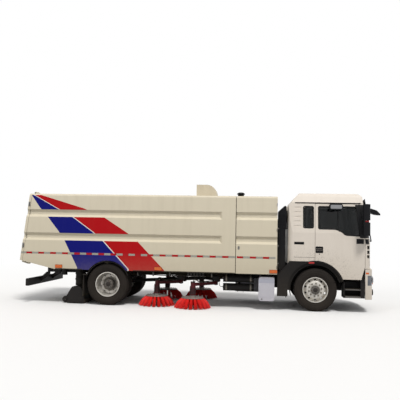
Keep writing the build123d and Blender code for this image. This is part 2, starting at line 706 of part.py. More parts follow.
def mirrors():
    head = outline(
        (3962, -1250, 20), (3890, -1425, 30), (3960, -1450, 50), (4062, -1400, 60), (4075, -1270, 40),
    )
    group = plan_prism(head, (2165, 2535)) + plan_prism(head, (1800, 2110))
    for z in (2440, 1860):
        group += bar((4025, -1080, z), (4025, -1300, z), 16)
    group += bar((4010, -1340, 2100), (4010, -1340, 2180), 30)
    pod = outline(
        (4030, 2450), (4150, 2455, 40), (4290, 2412, 60), (4370, 2330), (4370, 2296), (4240, 2312, 60),
        (4120, 2362, 40), (4030, 2390),
    )
    look_down = side_prism(pod, (-990, -810))
    body = cab_form(0)
    return group - body, look_down - body


def kerb_mirror():
    head = outline((3150, 2405, 30), (3450, 2405, 30), (3450, 2535, 30), (3150, 2535, 30))
    return side_prism(head, (-1290, -1150)) + block((3280, 3320), (-1200, -1040), (2500, 2530)) - cab_form(0)


def front_bumper():
    def plan(inset):
        face = outline(
            (3800, -cab_half), (4150, -cab_half, 130), (4240, -480, 900), (4240, 480, 900),
            (4150, cab_half, 130), (3800, cab_half),
        )
        return offset(face, -inset, kind=Kind.INTERSECTION) if inset else face
    skin = plan_prism(plan(0), (314, 1017)) - plan_prism(plan(60), (300, 1030))
    skin -= block((3700, door_front_x + 4), (-1300, 1300), (300, 1030))
    lamp_zone = block((4045, 4300), (-1200, -760), (640, 872))
    lamp = skin & lamp_zone
    slot = block((4100, 4300), (-640, 640), (560, 640)) + block((4100, 4300), (-640, 640), (720, 800))
    return skin - both_sides(lamp_zone) - slot, lamp


def cab_steps():
    well = block((3500, 3982), (-1140, -770), (340, 700))
    for low, high in ((380, 520), (545, 700)):
        well -= block((3520, 3962), (-1150, -800), (low, high + 1))
    well += block((3600, 3880), (-775, -rail_outer), (670, 700))
    well += block((3888, 3982), (-1140, -1048), (340, 700))
    well += block((3888, 3982), (-1088, -1048), (690, 1045))  # riser before the door's foot
    return well + block((3600, 3880), (-470, -rail_outer), (670, 780))


def seat(y):
    base = block((2950, 3340), (y - 200, y + 200), (cab_floor_top, 1500))
    cushion = block((2920, 3420), (y - 260, y + 260), (1500, 1640))
    back = side_prism(outline((2920, 1600), (3040, 1640), (2970, 2300), (2860, 2300)), (y - 250, y + 250))
    return base + cushion + back


def dashboard():
    face = outline(
        (3760, 1500, 40), (3720, 1700, 60), (3830, 1790, 60), (4090, 1720), (4120, 1400), (3900, 1400),
    )
    board = side_prism(face, (-1060, 1060)) & cab_form(cab_wall + 6)
    board += block((3950, 4100), (-500, 500), (cab_floor_top, 1450)) & cab_form(cab_wall + 1)
    centre = (3640, 560, 1850)
    column = bar((3880, 560, 1650), centre, 28)
    ring_plane = Plane(origin=centre, z_dir=(-0.62, 0, 0.79))
    ring = ring_plane * Torus(215, 16)
    spokes = ring_plane * (Box(40, 420, 16) + Cylinder(60, 40))
    return board + column + ring + spokes


def air_intake():
    """Stack behind the cab: louvred head, duct and the elbow to the engine."""
    duct = block((1990, 2140), (-1000, -760), (1000, 2000))
    head = outline((1965, 1960, 30), (2160, 1960), (2160, 2530, 30), (1965, 2350, 40))
    duct += side_prism(head, (-1015, -745))
    for k in range(4):
        duct -= block((1990, 2135), (-1020, -1000), (2020 + 70 * k, 2055 + 70 * k))
    duct += block((2010, 2140), (-760, -rail_outer), (880, 960))
    return duct + block((2010, 2140), (-1000, -760), (880, 1010))


def aux_engine():
    return block((1120, 1780), (-rail_outer, rail_outer), (rail_top, 1850))


def engine_block():
    block_shape = block((2700, 3650), (-325, 325), (580, 1085))
    gearbox = block((2330, 2700), (-200, 200), (640, 960))
    mounts = both_sides(block((3300, 3400), (-rail_outer + rail_wall, -320), (800, 860)))
    return block_shape + gearbox + mounts


def cylinders():
    start = Vector(barrel_pivot[0], -cylinder_y, barrel_pivot[1])
    end = Vector(rod_eye[0], -cylinder_y, rod_eye[1])
    along = (end - start).normalized()
    length = (end - start).length
    barrel = bar(start + along * 30, start + along * (length - 75), 62)
    barrel += bar((start.X, start.Y - 40, start.Z), (start.X, start.Y + 40, start.Z), 62)
    barrel -= bar((start.X, start.Y - 80, start.Z), (start.X, start.Y + 80, start.Z), 38 + running_clearance)
    bore = bar(start + along * 62, start + along * (length - 60), 36 + running_clearance)
    rod = bar(start + along * 75, start + along * (length - 20), 36)
    eye = bar((end.X, end.Y - 32, end.Z), (end.X, end.Y + 32, end.Z), 44)
    pin = bar((end.X, end.Y - 60, end.Z), (end.X, end.Y + 60, end.Z), 25)
    return barrel - bore, rod + eye + pin


def main():
    shell, roof, door, glass, door_pane = cab_pieces()
    bumper, lamp = front_bumper()
    main_mirror, look_down = mirrors()
    barrel, rod = cylinders()
    knuckle = knuckle_right()
    tail_lamp = block((-4198, -4180), *tail_lamp_box)
    lamps = [lamp, left(lamp), tail_lamp, left(tail_lamp)]
    for x in housing_markers_x:
        lamps += [side_marker(x), left(side_marker(x))]
    markers = [side for x in hopper_markers_x for side in (side_marker(x), left(side_marker(x)))]
    parts = {
        "chassis_rails": chassis_rails(),
        "cross_members": cross_members(),
        "front_axle": front_axle(),
        "rear_axle": rear_axle(),
        "leaf_springs": leaf_springs(),
        "engine_block": engine_block(),
        "drive_shaft": drive_shaft(),
        "fuel_tank": fuel_tank(),
        "side_tank": side_tank(),
        "air_tanks": air_tanks(),
        "front_bumper": bumper,
        "lamps": Compound(lamps),
        "cab_steps": Compound([cab_steps(), left(cab_steps())]),
        "mudguards": mudguards(),
        "rear_bumper": rear_bumper(),
        "suction_nozzle": suction_nozzle(),
        "suction_ducts": suction_ducts(),
        "cab_shell": shell,
        "cab_roof": roof,
        "cab_glass": glass,
        "mirrors": Compound([main_mirror, left(main_mirror), look_down]),
        "sun_visor": sun_visor(),
        "seats": Compound([seat(-560), seat(560)]),
        "dashboard": dashboard(),
        "air_intake": air_intake(),
        "equipment_housing": equipment_housing(),
        "aux_engine": aux_engine(),
        "rain_cap": rain_cap(),
        "hopper": hopper(),
        "exhaust_hood": exhaust_hood(),
        "side_markers": Compound(markers),
        "tailgate": tailgate(),
        "lift_barrels": Compound([barrel, left(barrel)]),
        "lift_rods": Compound([rod, left(rod)]),
        "door_right": door,
        "door_left": left(door),
        "door_glass_right": door_pane,
        "door_glass_left": left(door_pane),
        "kerb_mirror": kerb_mirror(),
        "knuckle_right": knuckle,
        "knuckle_left": left(knuckle),
    }
    parts.update(wheels())
    parts.update(brush_gear())
    os.makedirs("parts", exist_ok=True)
    for name, piece in parts.items():
        export_step(piece, f"parts/{name}.step")
        print(name, len(piece.solids()), "solids")


main()
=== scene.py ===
import bpy
import bmesh
import random
from math import atan2, cos, pi, radians, sin
from mathutils import Matrix, Vector


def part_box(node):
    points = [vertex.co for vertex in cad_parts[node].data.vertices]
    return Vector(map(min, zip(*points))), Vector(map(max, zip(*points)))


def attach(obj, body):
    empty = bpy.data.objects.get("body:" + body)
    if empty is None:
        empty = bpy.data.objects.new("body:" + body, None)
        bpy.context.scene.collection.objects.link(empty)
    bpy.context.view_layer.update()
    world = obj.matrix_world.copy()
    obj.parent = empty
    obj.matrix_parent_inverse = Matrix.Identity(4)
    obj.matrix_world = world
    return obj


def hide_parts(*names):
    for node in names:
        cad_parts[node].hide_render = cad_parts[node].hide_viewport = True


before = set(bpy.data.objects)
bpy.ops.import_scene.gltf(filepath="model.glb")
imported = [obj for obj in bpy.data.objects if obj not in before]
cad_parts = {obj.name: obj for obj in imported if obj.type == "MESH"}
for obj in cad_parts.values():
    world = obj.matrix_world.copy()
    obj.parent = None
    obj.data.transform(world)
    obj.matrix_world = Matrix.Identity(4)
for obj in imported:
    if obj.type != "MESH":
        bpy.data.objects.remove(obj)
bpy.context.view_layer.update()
sides = {"right": -1, "left": 1}


def middleOf(node):
    low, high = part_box(node)
    return (low + high) / 2


frontAxleX = middleOf("tyre_front_right").x
rearAxleX = middleOf("tyres_rear_right").x
axleHeight = middleOf("tyre_front_right").z
print("frame loaded")

cameraView = {
    "place": (1.428, -14.707, 1.751),
    "yaw": 5.714,
    "pitch": 3.55,
    "roll": 1.1,
    "lens": 50.6,
}


def makeCamera():
    data = bpy.data.cameras.new("camera")
    data.lens = cameraView["lens"]
    data.sensor_width = 36
    camera = bpy.data.objects.new("camera", data)
    bpy.context.scene.collection.objects.link(camera)
    turn = Matrix.Rotation(radians(cameraView["yaw"]), 4, "Z")
    turn @= Matrix.Rotation(radians(90 + cameraView["pitch"]), 4, "X")
    turn @= Matrix.Rotation(radians(cameraView["roll"]), 4, "Z")
    camera.matrix_world = Matrix.Translation(cameraView["place"]) @ turn
    bpy.context.scene.camera = camera


makeCamera()


# a socket that can be used in plain sums
class Level:
    def __init__(self, nodes, socket):
        self.nodes = nodes
        self.socket = socket

    def sum(self, operation, *terms):
        return self.nodes.node("Math", {"operation": operation}, dict(enumerate(terms)))

    def __add__(self, other):
        return self.sum("ADD", self, other)

    def __radd__(self, other):
        return self.sum("ADD", other, self)

    def __sub__(self, other):
        return self.sum("SUBTRACT", self, other)

    def __rsub__(self, other):
        return self.sum("SUBTRACT", other, self)

    def __mul__(self, other):
        return self.sum("MULTIPLY", self, other)

    def __rmul__(self, other):
        return self.sum("MULTIPLY", other, self)

    def __pow__(self, other):
        return self.sum("POWER", self, other)

    def __mod__(self, other):
        return self.sum("FLOORED_MODULO", self, other)

    def __abs__(self):
        return self.sum("ABSOLUTE", self)

    def sine(self):
        return self.sum("SINE", self)

    def atLeast(self, other):
        return self.sum("MAXIMUM", self, other)

    def atMost(self, other):
        return self.sum("MINIMUM", self, other)


class Nodes:
    def __init__(self, owner):
        owner.use_nodes = True
        self.tree = owner.node_tree
        self.tree.nodes.clear()

    # any node: its type, its settings, then the values or links of its sockets
    def node(self, kind, settings=None, sockets=None, output=0):
        made = self.tree.nodes.new("ShaderNode" + kind)
        for name, value in (settings or {}).items():
            setattr(made, name, value)
        for name, value in (sockets or {}).items():
            self.feed(made.inputs[name], value)
        return made if output is None else Level(self, made.outputs[output])

    def feed(self, socket, value):
        if isinstance(value, Level):
            self.tree.links.new(value.socket, socket)
        elif socket.type == "RGBA":
            socket.default_value = (*value, 1)
        else:
            socket.default_value = value

    def rays(self, *kinds):
        path = self.node("LightPath", output=None)
        return [Level(self, path.outputs[f"Is {kind} Ray"]) for kind in kinds]

    def mixShader(self, share, first, second):
        return self.node("MixShader", {}, {0: share, 1: first, 2: second})


class Finish(Nodes):
    def __init__(self, name, **constants):
        self.material = bpy.data.materials.new(name)
        super().__init__(self.material)
        self.shader = self.node("BsdfPrincipled", output=None)
        self.out = self.node("OutputMaterial", output=None)
        self.feed(self.out.inputs["Surface"], Level(self, self.shader.outputs[0]))
        self.spot = self.node("TexCoord", output="Object")
        parts = self.node("SeparateXYZ", {}, {0: self.spot}, None)
        self.x, self.y, self.z = [Level(self, parts.outputs[k]) for k in range(3)]
        self.set(**{"Specular_IOR_Level": 0.2, **constants})

    def set(self, **sockets):
        for name, value in sockets.items():
            self.feed(self.shader.inputs[name.replace("_", " ")], value)
        return self

    def mix(self, factor, first, second):
        return self.node("Mix", {"data_type": "RGBA"}, {0: factor, 6: first, 7: second}, 2)

    def step(self, value, edge, soft=0.002):
        reach = {"Value": value, "From Min": edge - soft / 2, "From Max": edge + soft / 2}
        return self.node("MapRange", {}, reach)

    def band(self, value, low, high, soft=0.002):
        return self.step(value, low, soft) * (1 - self.step(value, high, soft))

    def noise(self, scale, detail=3.0, rough=0.5, stretch=None):
        place = self.node("Mapping", {}, {"Vector": self.spot, "Scale": stretch}) if stretch else self.spot
        sockets = {"Vector": place, "Scale": scale, "Detail": detail, "Roughness": rough}
        return self.node("TexNoise", {}, sockets)

    def cells(self, scale, feature):
        return self.node("TexVoronoi", {"feature": feature}, {"Vector": self.spot, "Scale": scale})

    def bump(self, height, strength=0.3, distance=0.002):
        return self.node("Bump", {}, {"Strength": strength, "Distance": distance, "Height": height})


def srgb(*colour):  # as a paint card gives it, 0 to 255
    return tuple(((c / 255 + 0.055) / 1.055) ** 2.4 if c > 10 else c / 255 / 12.92 for c in colour)


def fresh(count):
    return [bmesh.new() for _ in range(count)]


def pieceOf(name, data):
    piece = bpy.data.objects.new(name, data)
    bpy.context.scene.collection.objects.link(piece)
    return piece


def finishMesh(mesh, name, smooth=True):
    bmesh.ops.remove_doubles(mesh, verts=mesh.verts, dist=1e-6)
    bmesh.ops.recalc_face_normals(mesh, faces=mesh.faces)
    data = dataOf(mesh, name)
    if smooth:
        data.shade_smooth()
        data.set_sharp_from_angle(angle=radians(35))
    return pieceOf(name, data)


def dataOf(mesh, name="part"):
    data = bpy.data.meshes.new(name)
    mesh.to_mesh(data)
    mesh.free()
    return data


def addRound(mesh, part, centre=(0, 0, 0), axis="Z", count=1):  # a part, copied round an axis
    data = dataOf(part)
    turn = Matrix.Translation(centre) @ Matrix.Rotation(2 * pi / count, 4, axis)
    turn @= Matrix.Translation(-Vector(centre))
    for _ in range(count):
        if count > 1:
            data.transform(turn)
        mesh.from_mesh(data)
    bpy.data.meshes.remove(data)


def addBlock(mesh, low, high, edge=0.0, segments=2):
    low, high = Vector(low), Vector(high)
    made = bmesh.ops.create_cube(mesh, size=1)["verts"]
    bmesh.ops.scale(mesh, vec=high - low, verts=made)
    bmesh.ops.translate(mesh, vec=(high + low) / 2, verts=made)
    if edge:
        edges = list({e for v in made for e in v.link_edges})
        bmesh.ops.bevel(mesh, geom=edges, offset=edge, segments=segments, profile=0.5, affect="EDGES",
                        material=-1)


def sideBlock(mesh, sign, x, y, z, edge=0.0):  # x, y and z from and to; y is measured towards the side
    y = sorted(sign * k for k in y)
    addBlock(mesh, (x[0], y[0], z[0]), (x[1], y[1], z[1]), edge)


def addRod(mesh, start, end, radius, tip=None, segments=20):
    start, end = Vector(start), Vector(end)
    along = end - start
    place = Matrix.Translation((start + end) / 2) @ along.to_track_quat("Z", "Y").to_matrix().to_4x4()
    tip = radius if tip is None else tip
    bmesh.ops.create_cone(mesh, cap_ends=True, segments=segments, radius1=radius, radius2=tip,
                          depth=along.length, matrix=place)


def sideRod(mesh, sign, x, y, z, radius, tip=None, segments=20):  # y from and to
    addRod(mesh, (x, sign * y[0], z), (x, sign * y[1], z), radius, tip, segments)


def upRod(mesh, x, y, z, radius, tip=None, segments=20):  # z from and to
    addRod(mesh, (x, y, z[0]), (x, y, z[1]), radius, tip, segments)


def addNut(mesh, place, along, size, height):  # hexagon with a domed end
    place, along = Vector(place), Vector(along).normalized()
    addRod(mesh, place, place + along * height * 0.75, size, segments=6)
    addRod(mesh, place + along * height * 0.75, place + along * height, size * 0.62, size * 0.4, 8)


def addSpin(mesh, profile, centre, axis, steps=64):
    verts = [mesh.verts.new(point) for point in profile]
    edges = [mesh.edges.new(pair) for pair in zip(verts, verts[1:])]
    bmesh.ops.spin(mesh, geom=verts + edges, cent=centre, axis=axis, angle=2 * pi, steps=steps,
                   use_merge=True)


def addPlate(mesh, corners, thick, roundness=0.0, ring=0.0):  # flat plate, or a frame of the ring's width
    part = bmesh.new()
    part.faces.new([part.verts.new(corner) for corner in corners])
    if roundness:
        bmesh.ops.bevel(part, geom=part.verts[:], offset=roundness, segments=4, profile=0.5,
                        affect="VERTICES", material=-1)
    if ring:
        rim = set(bmesh.ops.inset_individual(part, faces=part.faces[:], thickness=ring)["faces"])
        bmesh.ops.delete(part, geom=[f for f in part.faces if f not in rim], context="FACES")
    made = bmesh.ops.extrude_face_region(part, geom=part.faces[:])["geom"]
    moved = [v for v in made if isinstance(v, bmesh.types.BMVert)]
    bmesh.ops.translate(part, vec=Vector(thick), verts=moved)
    addRound(mesh, part)


def addPanel(mesh, axis, at, first, second, thick, roundness=0.0, ring=0.0):  # plate square to an axis
    places = [(first[0], second[0]), (first[1], second[0]), (first[1], second[1]), (first[0], second[1])]
    corners = [place[:axis] + (at,) + place[axis:] for place in places]
    addPlate(mesh, corners, [thick if k == axis else 0 for k in range(3)], roundness, ring)


def addPipe(mesh, points, radius, resolution=2):
    curve = bpy.data.curves.new("pipe", "CURVE")
    curve.dimensions = "3D"
    curve.bevel_depth = radius
    curve.bevel_resolution = resolution
    curve.use_fill_caps = True
    spline = curve.splines.new("NURBS")
    spline.points.add(len(points) - 1)
    for point, place in zip(spline.points, points):
        point.co = (*place, 1)
    spline.order_u = 3
    spline.use_endpoint_u = True
    spline.resolution_u = 5
    holder = bpy.data.objects.new("pipe", curve)
    data = bpy.data.meshes.new_from_object(holder)
    mesh.from_mesh(data)
    bpy.data.objects.remove(holder)
    bpy.data.meshes.remove(data)
    bpy.data.curves.remove(curve)


def ringOf(count, radius, centre, start=0.0):  # places on a circle about an axle
    for k in range(count):
        turn = 2 * pi * k / count + start
        yield centre[0] + radius * cos(turn), centre[1] + radius * sin(turn)


def dress(mesh, name, body, paint, smooth=True):  # a finished piece, riding on its body
    piece = finishMesh(mesh, name, smooth)
    piece.data.materials.append(paints[paint].material)
    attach(piece, body)
    return piece


studio = {
    "floorSize": 80,
    "floorGrey": 0.34,  # what the floor throws back at the truck
    "floorShown": 0.86,
    "floorFade": (13, 14),  # middle and width
    "sky": 0.54,
    "lampSize": 14,
    "lampColour": (1.0, 0.98, 0.95),
    "lamps": {"key": (2.1, (33, 0, 26)), "fill": (0.32, (66, 0, -38))},  # strength, turn
}


def makeFloor():
    mesh = bmesh.new()
    bmesh.ops.create_grid(mesh, x_segments=1, y_segments=1, size=studio["floorSize"])
    floor = finishMesh(mesh, "floor", smooth=False)
    floor.data.transform(Matrix.Translation((0, 0, -0.001)))
    pale = Finish("pale_floor", Roughness=0.9, Specular_IOR_Level=0.1)
    seen, glossy = pale.rays("Camera", "Glossy")
    lit, shown = [(studio[name],) * 3 for name in ("floorGrey", "floorShown")]
    pale.set(Base_Color=pale.mix(seen.atLeast(glossy), lit, shown))
    away = (pale.x * pale.x + pale.y * pale.y) ** 0.5
    fade = pale.step(away, *studio["floorFade"]) * seen
    glow = pale.node("Emission", {}, {"Color": (1, 1, 1), "Strength": 1.0})
    blend = pale.mixShader(fade, Level(pale, pale.shader.outputs[0]), glow)
    pale.feed(pale.out.inputs["Surface"], blend)
    floor.data.materials.append(pale.material)


def makeSky():
    world = bpy.data.worlds.new("studio")
    bpy.context.scene.world = world
    sky = Nodes(world)
    seen, glossy, through = sky.rays("Camera", "Glossy", "Transmission")
    light, white = [
        sky.node("Background", {}, {"Color": (1, 1, 1), "Strength": level}) for level in (studio["sky"], 1.0)
    ]
    out = sky.node("OutputWorld", output=None)
    sky.feed(out.inputs["Surface"], sky.mixShader(seen.atLeast(glossy.atLeast(through)), light, white))


def makeStudio():
    makeFloor()
    makeSky()
    for name, (strength, turn) in studio["lamps"].items():
        lamp = bpy.data.lights.new(name, "SUN")
        lamp.energy = strength
        lamp.angle = radians(studio["lampSize"])
        lamp.color = studio["lampColour"]
        pieceOf(name, lamp).rotation_euler = [radians(a) for a in turn]
    bpy.context.scene.view_settings.view_transform = "Standard"


makeStudio()

colours = {
    "cabWhite": srgb(228, 219, 209),
    "blue": srgb(10, 16, 112),
    "red": srgb(176, 12, 20),
    "dust": srgb(150, 136, 114),
    "mud": srgb(64, 56, 49),
}


def dusty(finish, colour, low, high, amount, tint="dust"):
    settle = (1 - finish.step(finish.z, (low + high) / 2, high - low)) * amount
    patch = finish.noise(2.3, 5, 0.65) * 0.7 + finish.noise(19, 3) * 0.5
    return finish.mix(settle * patch, colour, colours[tint]), settle * patch


def streaks(finish, scale=7, length=0.35):  # rain marks that run down a wall
    marks = finish.noise(scale, 4, 0.6, (1, 1, length / 4))
    return finish.step(marks, 0.62, 0.3)


def waves(finish, strength=0.12):  # sheet metal is never quite flat
    broad = finish.noise(1.1, 2) * 2 + finish.noise(340, 2) * 0.02
    return finish.bump(broad, strength, 0.012)


stripes = {
    "flatY": 1.236,
    "line": 0.016,
    # each edge from the roof's rear corner down: height, x
    "blueEdge": (
        (2.706, -4.156), (2.361, -3.906), (2.156, -3.717),
        (1.778, -3.407), (1.581, -3.264), (0.896, -2.908),
    ),
    "middle": (
        (2.717, -4.156), (2.354, -3.487), (2.155, -3.090),
        (1.782, -2.554), (1.583, -2.303), (0.891, -1.641),
    ),
    "redEdge": (
        (2.724, -4.087), (2.349, -2.793), (2.146, -2.287),
        (1.774, -1.698), (1.567, -1.431), (0.882, -0.755),
    ),
}
tape = {
    "height": (1.212, 1.262),
    "border": 0.004,
    "red": 0.147,  # length of a red field
    "runs": ((-4.36, 0.945, -3.906, 0.303), (0.985, 1.9, 0.987, 0.308)),  # from, to, first red field, pitch
}


def stripeEdge(finish, name):  # how far ahead of the edge a spot lies
    corners = stripes[name]
    place = corners[0][1]
    for (high, start), (low, end) in zip(corners, corners[1:]):
        reach = {"Value": finish.z, "From Min": high, "From Max": low, "To Min": 0.0, "To Max": end - start}
        place = finish.node("MapRange", {}, reach) + place
    return finish.x - place


def addTape(finish, paint, flat):
    x, z = finish.x, finish.z
    honey = finish.cells(260, "DISTANCE_TO_EDGE")
    pale = finish.mix(finish.step(honey, 0.05, 0.08), srgb(118, 118, 112), srgb(168, 166, 156))
    field, border = tape["red"], tape["border"]
    strip = 0
    for start, end, first, pitch in tape["runs"]:
        here = finish.band(z, *tape["height"]) * finish.band(x, start, end) * flat
        phase = (x - first) % pitch
        seam = finish.band(phase, -1, border) + finish.band(phase, field - border, field + border)
        band = finish.mix(1 - finish.step(phase, field), pale, srgb(170, 18, 30))
        band = finish.mix(seam, band, srgb(80, 76, 72))
        paint = finish.mix(here, paint, band)
        strip = here + strip
    return paint, strip


def creamPaint():
    finish = Finish("cream_paint", Specular_IOR_Level=0.1, Coat_Weight=0.03, Coat_Roughness=0.2)
    z = finish.z
    flat = finish.step(abs(finish.y), stripes["flatY"], 0.003)
    blueIn, middle, redIn = [stripeEdge(finish, name) for name in ("blueEdge", "middle", "redEdge")]
    inside = finish.step(blueIn, 0) * (1 - finish.step(redIn, 0)) * flat
    shade = finish.noise(0.8, 4) * 0.5 + finish.noise(6, 3) * 0.25
    # painted highlight: the cream is made lighter towards the top to stand for sky light falling on the
    # upper body
    creamWithPaintedToplight = finish.mix(finish.step(z, 1.9, 1.9), srgb(212, 203, 181), srgb(225, 216, 195))
    creamWithPaintedToplight = finish.mix(shade * 0.5, creamWithPaintedToplight, srgb(200, 190, 168))
    paint = finish.mix(inside, creamWithPaintedToplight, finish.mix(finish.step(middle, 0), colours["blue"], colours["red"]))
    line = finish.band(middle, -stripes["line"], stripes["line"]) * flat
    paint = finish.mix(line, paint, srgb(226, 222, 216))
    paint, strip = addTape(finish, paint, flat)
    run = streaks(finish) * 0.12 * finish.step(z, 1.5, 2.4) * (1 - inside * 0.8)
    paint = finish.mix(run, paint, colours["dust"])
    paint, grime = dusty(finish, paint, 0.8, 1.3, 0.3)
    roof = finish.step(z, 2.69, 0.02) * (finish.noise(3.0, 5, 0.7) * 0.5)
    paint = finish.mix(roof, paint, colours["dust"])
    rough = 0.34 + grime * 0.5 + roof * 0.4 + finish.noise(30, 3) * 0.06 + strip * 0.1
    return finish.set(Base_Color=paint, Roughness=rough, Normal=waves(finish))


def awayFrom(finish, x):  # distance from a wheel's axle in the side view
    return ((finish.x - x) ** 2 + (finish.z - axleHeight) ** 2) ** 0.5


cabBlack = {"height": (1.745, 2.535), "foot": 3.872, "lean": 0.138}


def cabPaint():
    finish = Finish("cab_paint", Coat_Weight=0.05, Coat_Roughness=0.2)
    shade = finish.noise(0.9, 3) * 0.4 + finish.noise(8, 3) * 0.2
    paint = finish.mix(shade, colours["cabWhite"], srgb(206, 198, 184))
    low, high = cabBlack["height"]
    pillar = finish.x - (cabBlack["foot"] - (finish.z - low) * cabBlack["lean"])
    dark = finish.step(pillar, 0) * finish.band(finish.z, low, high)
    paint = finish.mix(dark, paint, srgb(20, 20, 22))
    near = 1 - finish.step(awayFrom(finish, frontAxleX), 0.95, 0.5)
    spatter = finish.step(finish.noise(42, 4, 0.7), 0.6, 0.12) * near
    paint = finish.mix(spatter * 0.5, paint, colours["mud"])
    paint, grime = dusty(finish, paint, 0.6, 1.5, 0.4)
    paint = finish.mix(streaks(finish, 9) * 0.08, paint, colours["dust"])
    rough = 0.4 + grime * 0.4 + finish.noise(34, 3) * 0.05
    return finish.set(Base_Color=paint, Roughness=rough, Normal=waves(finish, 0.08))


def plainPaint(name, colour, rough, dustLow, dustHigh, dust, tint="dust", metal=0.0, grain=0.1, **more):
    finish = Finish(name, **more)
    shade = finish.noise(2.5, 4) * 0.6 + finish.noise(40, 2) * 0.3
    deep = tuple(c * 0.72 for c in colour)
    paint, grime = dusty(finish, finish.mix(shade, colour, deep), dustLow, dustHigh, dust, tint)
    if metal:
        finish.set(Metallic=metal * (1 - grime.atMost(0.9)))
    bumps = finish.noise(120, 3) + finish.noise(11, 2) * 0.6
    level = rough + grime * 0.35 + finish.noise(26, 4) * 0.12
    return finish.set(Base_Color=paint, Roughness=level, Normal=finish.bump(bumps, grain, 0.002))


def grainedPlastic(name, colour, rough, dust):
    finish = Finish(name, Specular_IOR_Level=0.12)
    pits = finish.cells(900, "F1") * 0.5 + finish.noise(260, 2)
    base = finish.mix(finish.noise(5, 3) * 0.5, colour, tuple(c * 0.6 for c in colour))
    paint, grime = dusty(finish, base, 0.2, 1.5, dust)
    normal = finish.bump(pits, 0.25, 0.0006)
    return finish.set(Base_Color=paint, Roughness=rough + grime * 0.3, Normal=normal)


def rubber():
    finish = Finish("tyre_rubber", Specular_IOR_Level=0.12)
    base = finish.mix(finish.noise(4, 5, 0.65), srgb(24, 22, 21), srgb(47, 43, 40))
    paint, grime = dusty(finish, base, 0.0, 1.3, 0.55, "mud")
    fine = finish.noise(160, 3) * 0.4 + finish.noise(18, 3)
    normal = finish.bump(fine, 0.25, 0.0015)
    return finish.set(Base_Color=paint, Roughness=0.82 + grime * 0.1, Normal=normal)


def rimSteel(name, centreX, darkWithin):
    finish = Finish(name)
    base = finish.mix(finish.noise(9, 4), srgb(234, 231, 225), srgb(176, 171, 162))
    away = awayFrom(finish, centreX) + finish.noise(8, 3) * 0.03
    # the rim is painted darker near the axle, within darkWithin of it
    darkMiddle = (1 - finish.step(away, darkWithin, 0.03)) * 0.85
    base = finish.mix(darkMiddle, base, srgb(52, 47, 42))
    rust = finish.step(finish.noise(14, 5, 0.7), 0.63, 0.1) * 0.6
    base = finish.mix(rust, base, srgb(92, 62, 42))
    paint, grime = dusty(finish, base, 0.1, 1.3, 0.25, "mud")
    finish.set(Metallic=0.55 * (1 - grime.atMost(1)))
    bumps = finish.bump(finish.noise(90, 3), 0.2, 0.001)
    return finish.set(Base_Color=paint, Roughness=0.42 + grime * 0.4, Normal=bumps)


def windowGlass():
    finish = Finish("window_glass", IOR=1.5, Alpha=0.72, Specular_IOR_Level=0.3)
    haze = finish.step(finish.noise(5, 5, 0.7), 0.62, 0.3) * 0.5
    paint = finish.mix(haze, srgb(9, 13, 14), srgb(26, 31, 31))
    return finish.set(Base_Color=paint, Roughness=0.04 + haze * 0.12)


def lampFinish():  # clear lens at the front, red at the rear, amber on the sides
    finish = Finish("lamp_lens", Coat_Weight=0.6, Coat_Roughness=0.04)
    flutes = (finish.y * 160).sine()
    clear = finish.mix(finish.noise(12, 3), srgb(118, 122, 130), srgb(70, 74, 80))
    rear = finish.mix(finish.step(abs(finish.y), 1.08, 0.004), srgb(150, 14, 16), srgb(200, 90, 20))
    amber = finish.mix(finish.noise(30, 2), srgb(226, 112, 34), srgb(186, 78, 20))
    paint = finish.mix(finish.step(finish.x, -3.9), rear, amber)
    paint = finish.mix(finish.step(finish.x, 3.0), paint, clear)
    rough = 0.18 + finish.noise(20, 2) * 0.1
    return finish.set(Base_Color=paint, Roughness=rough, Normal=finish.bump(flutes, 0.3, 0.001))


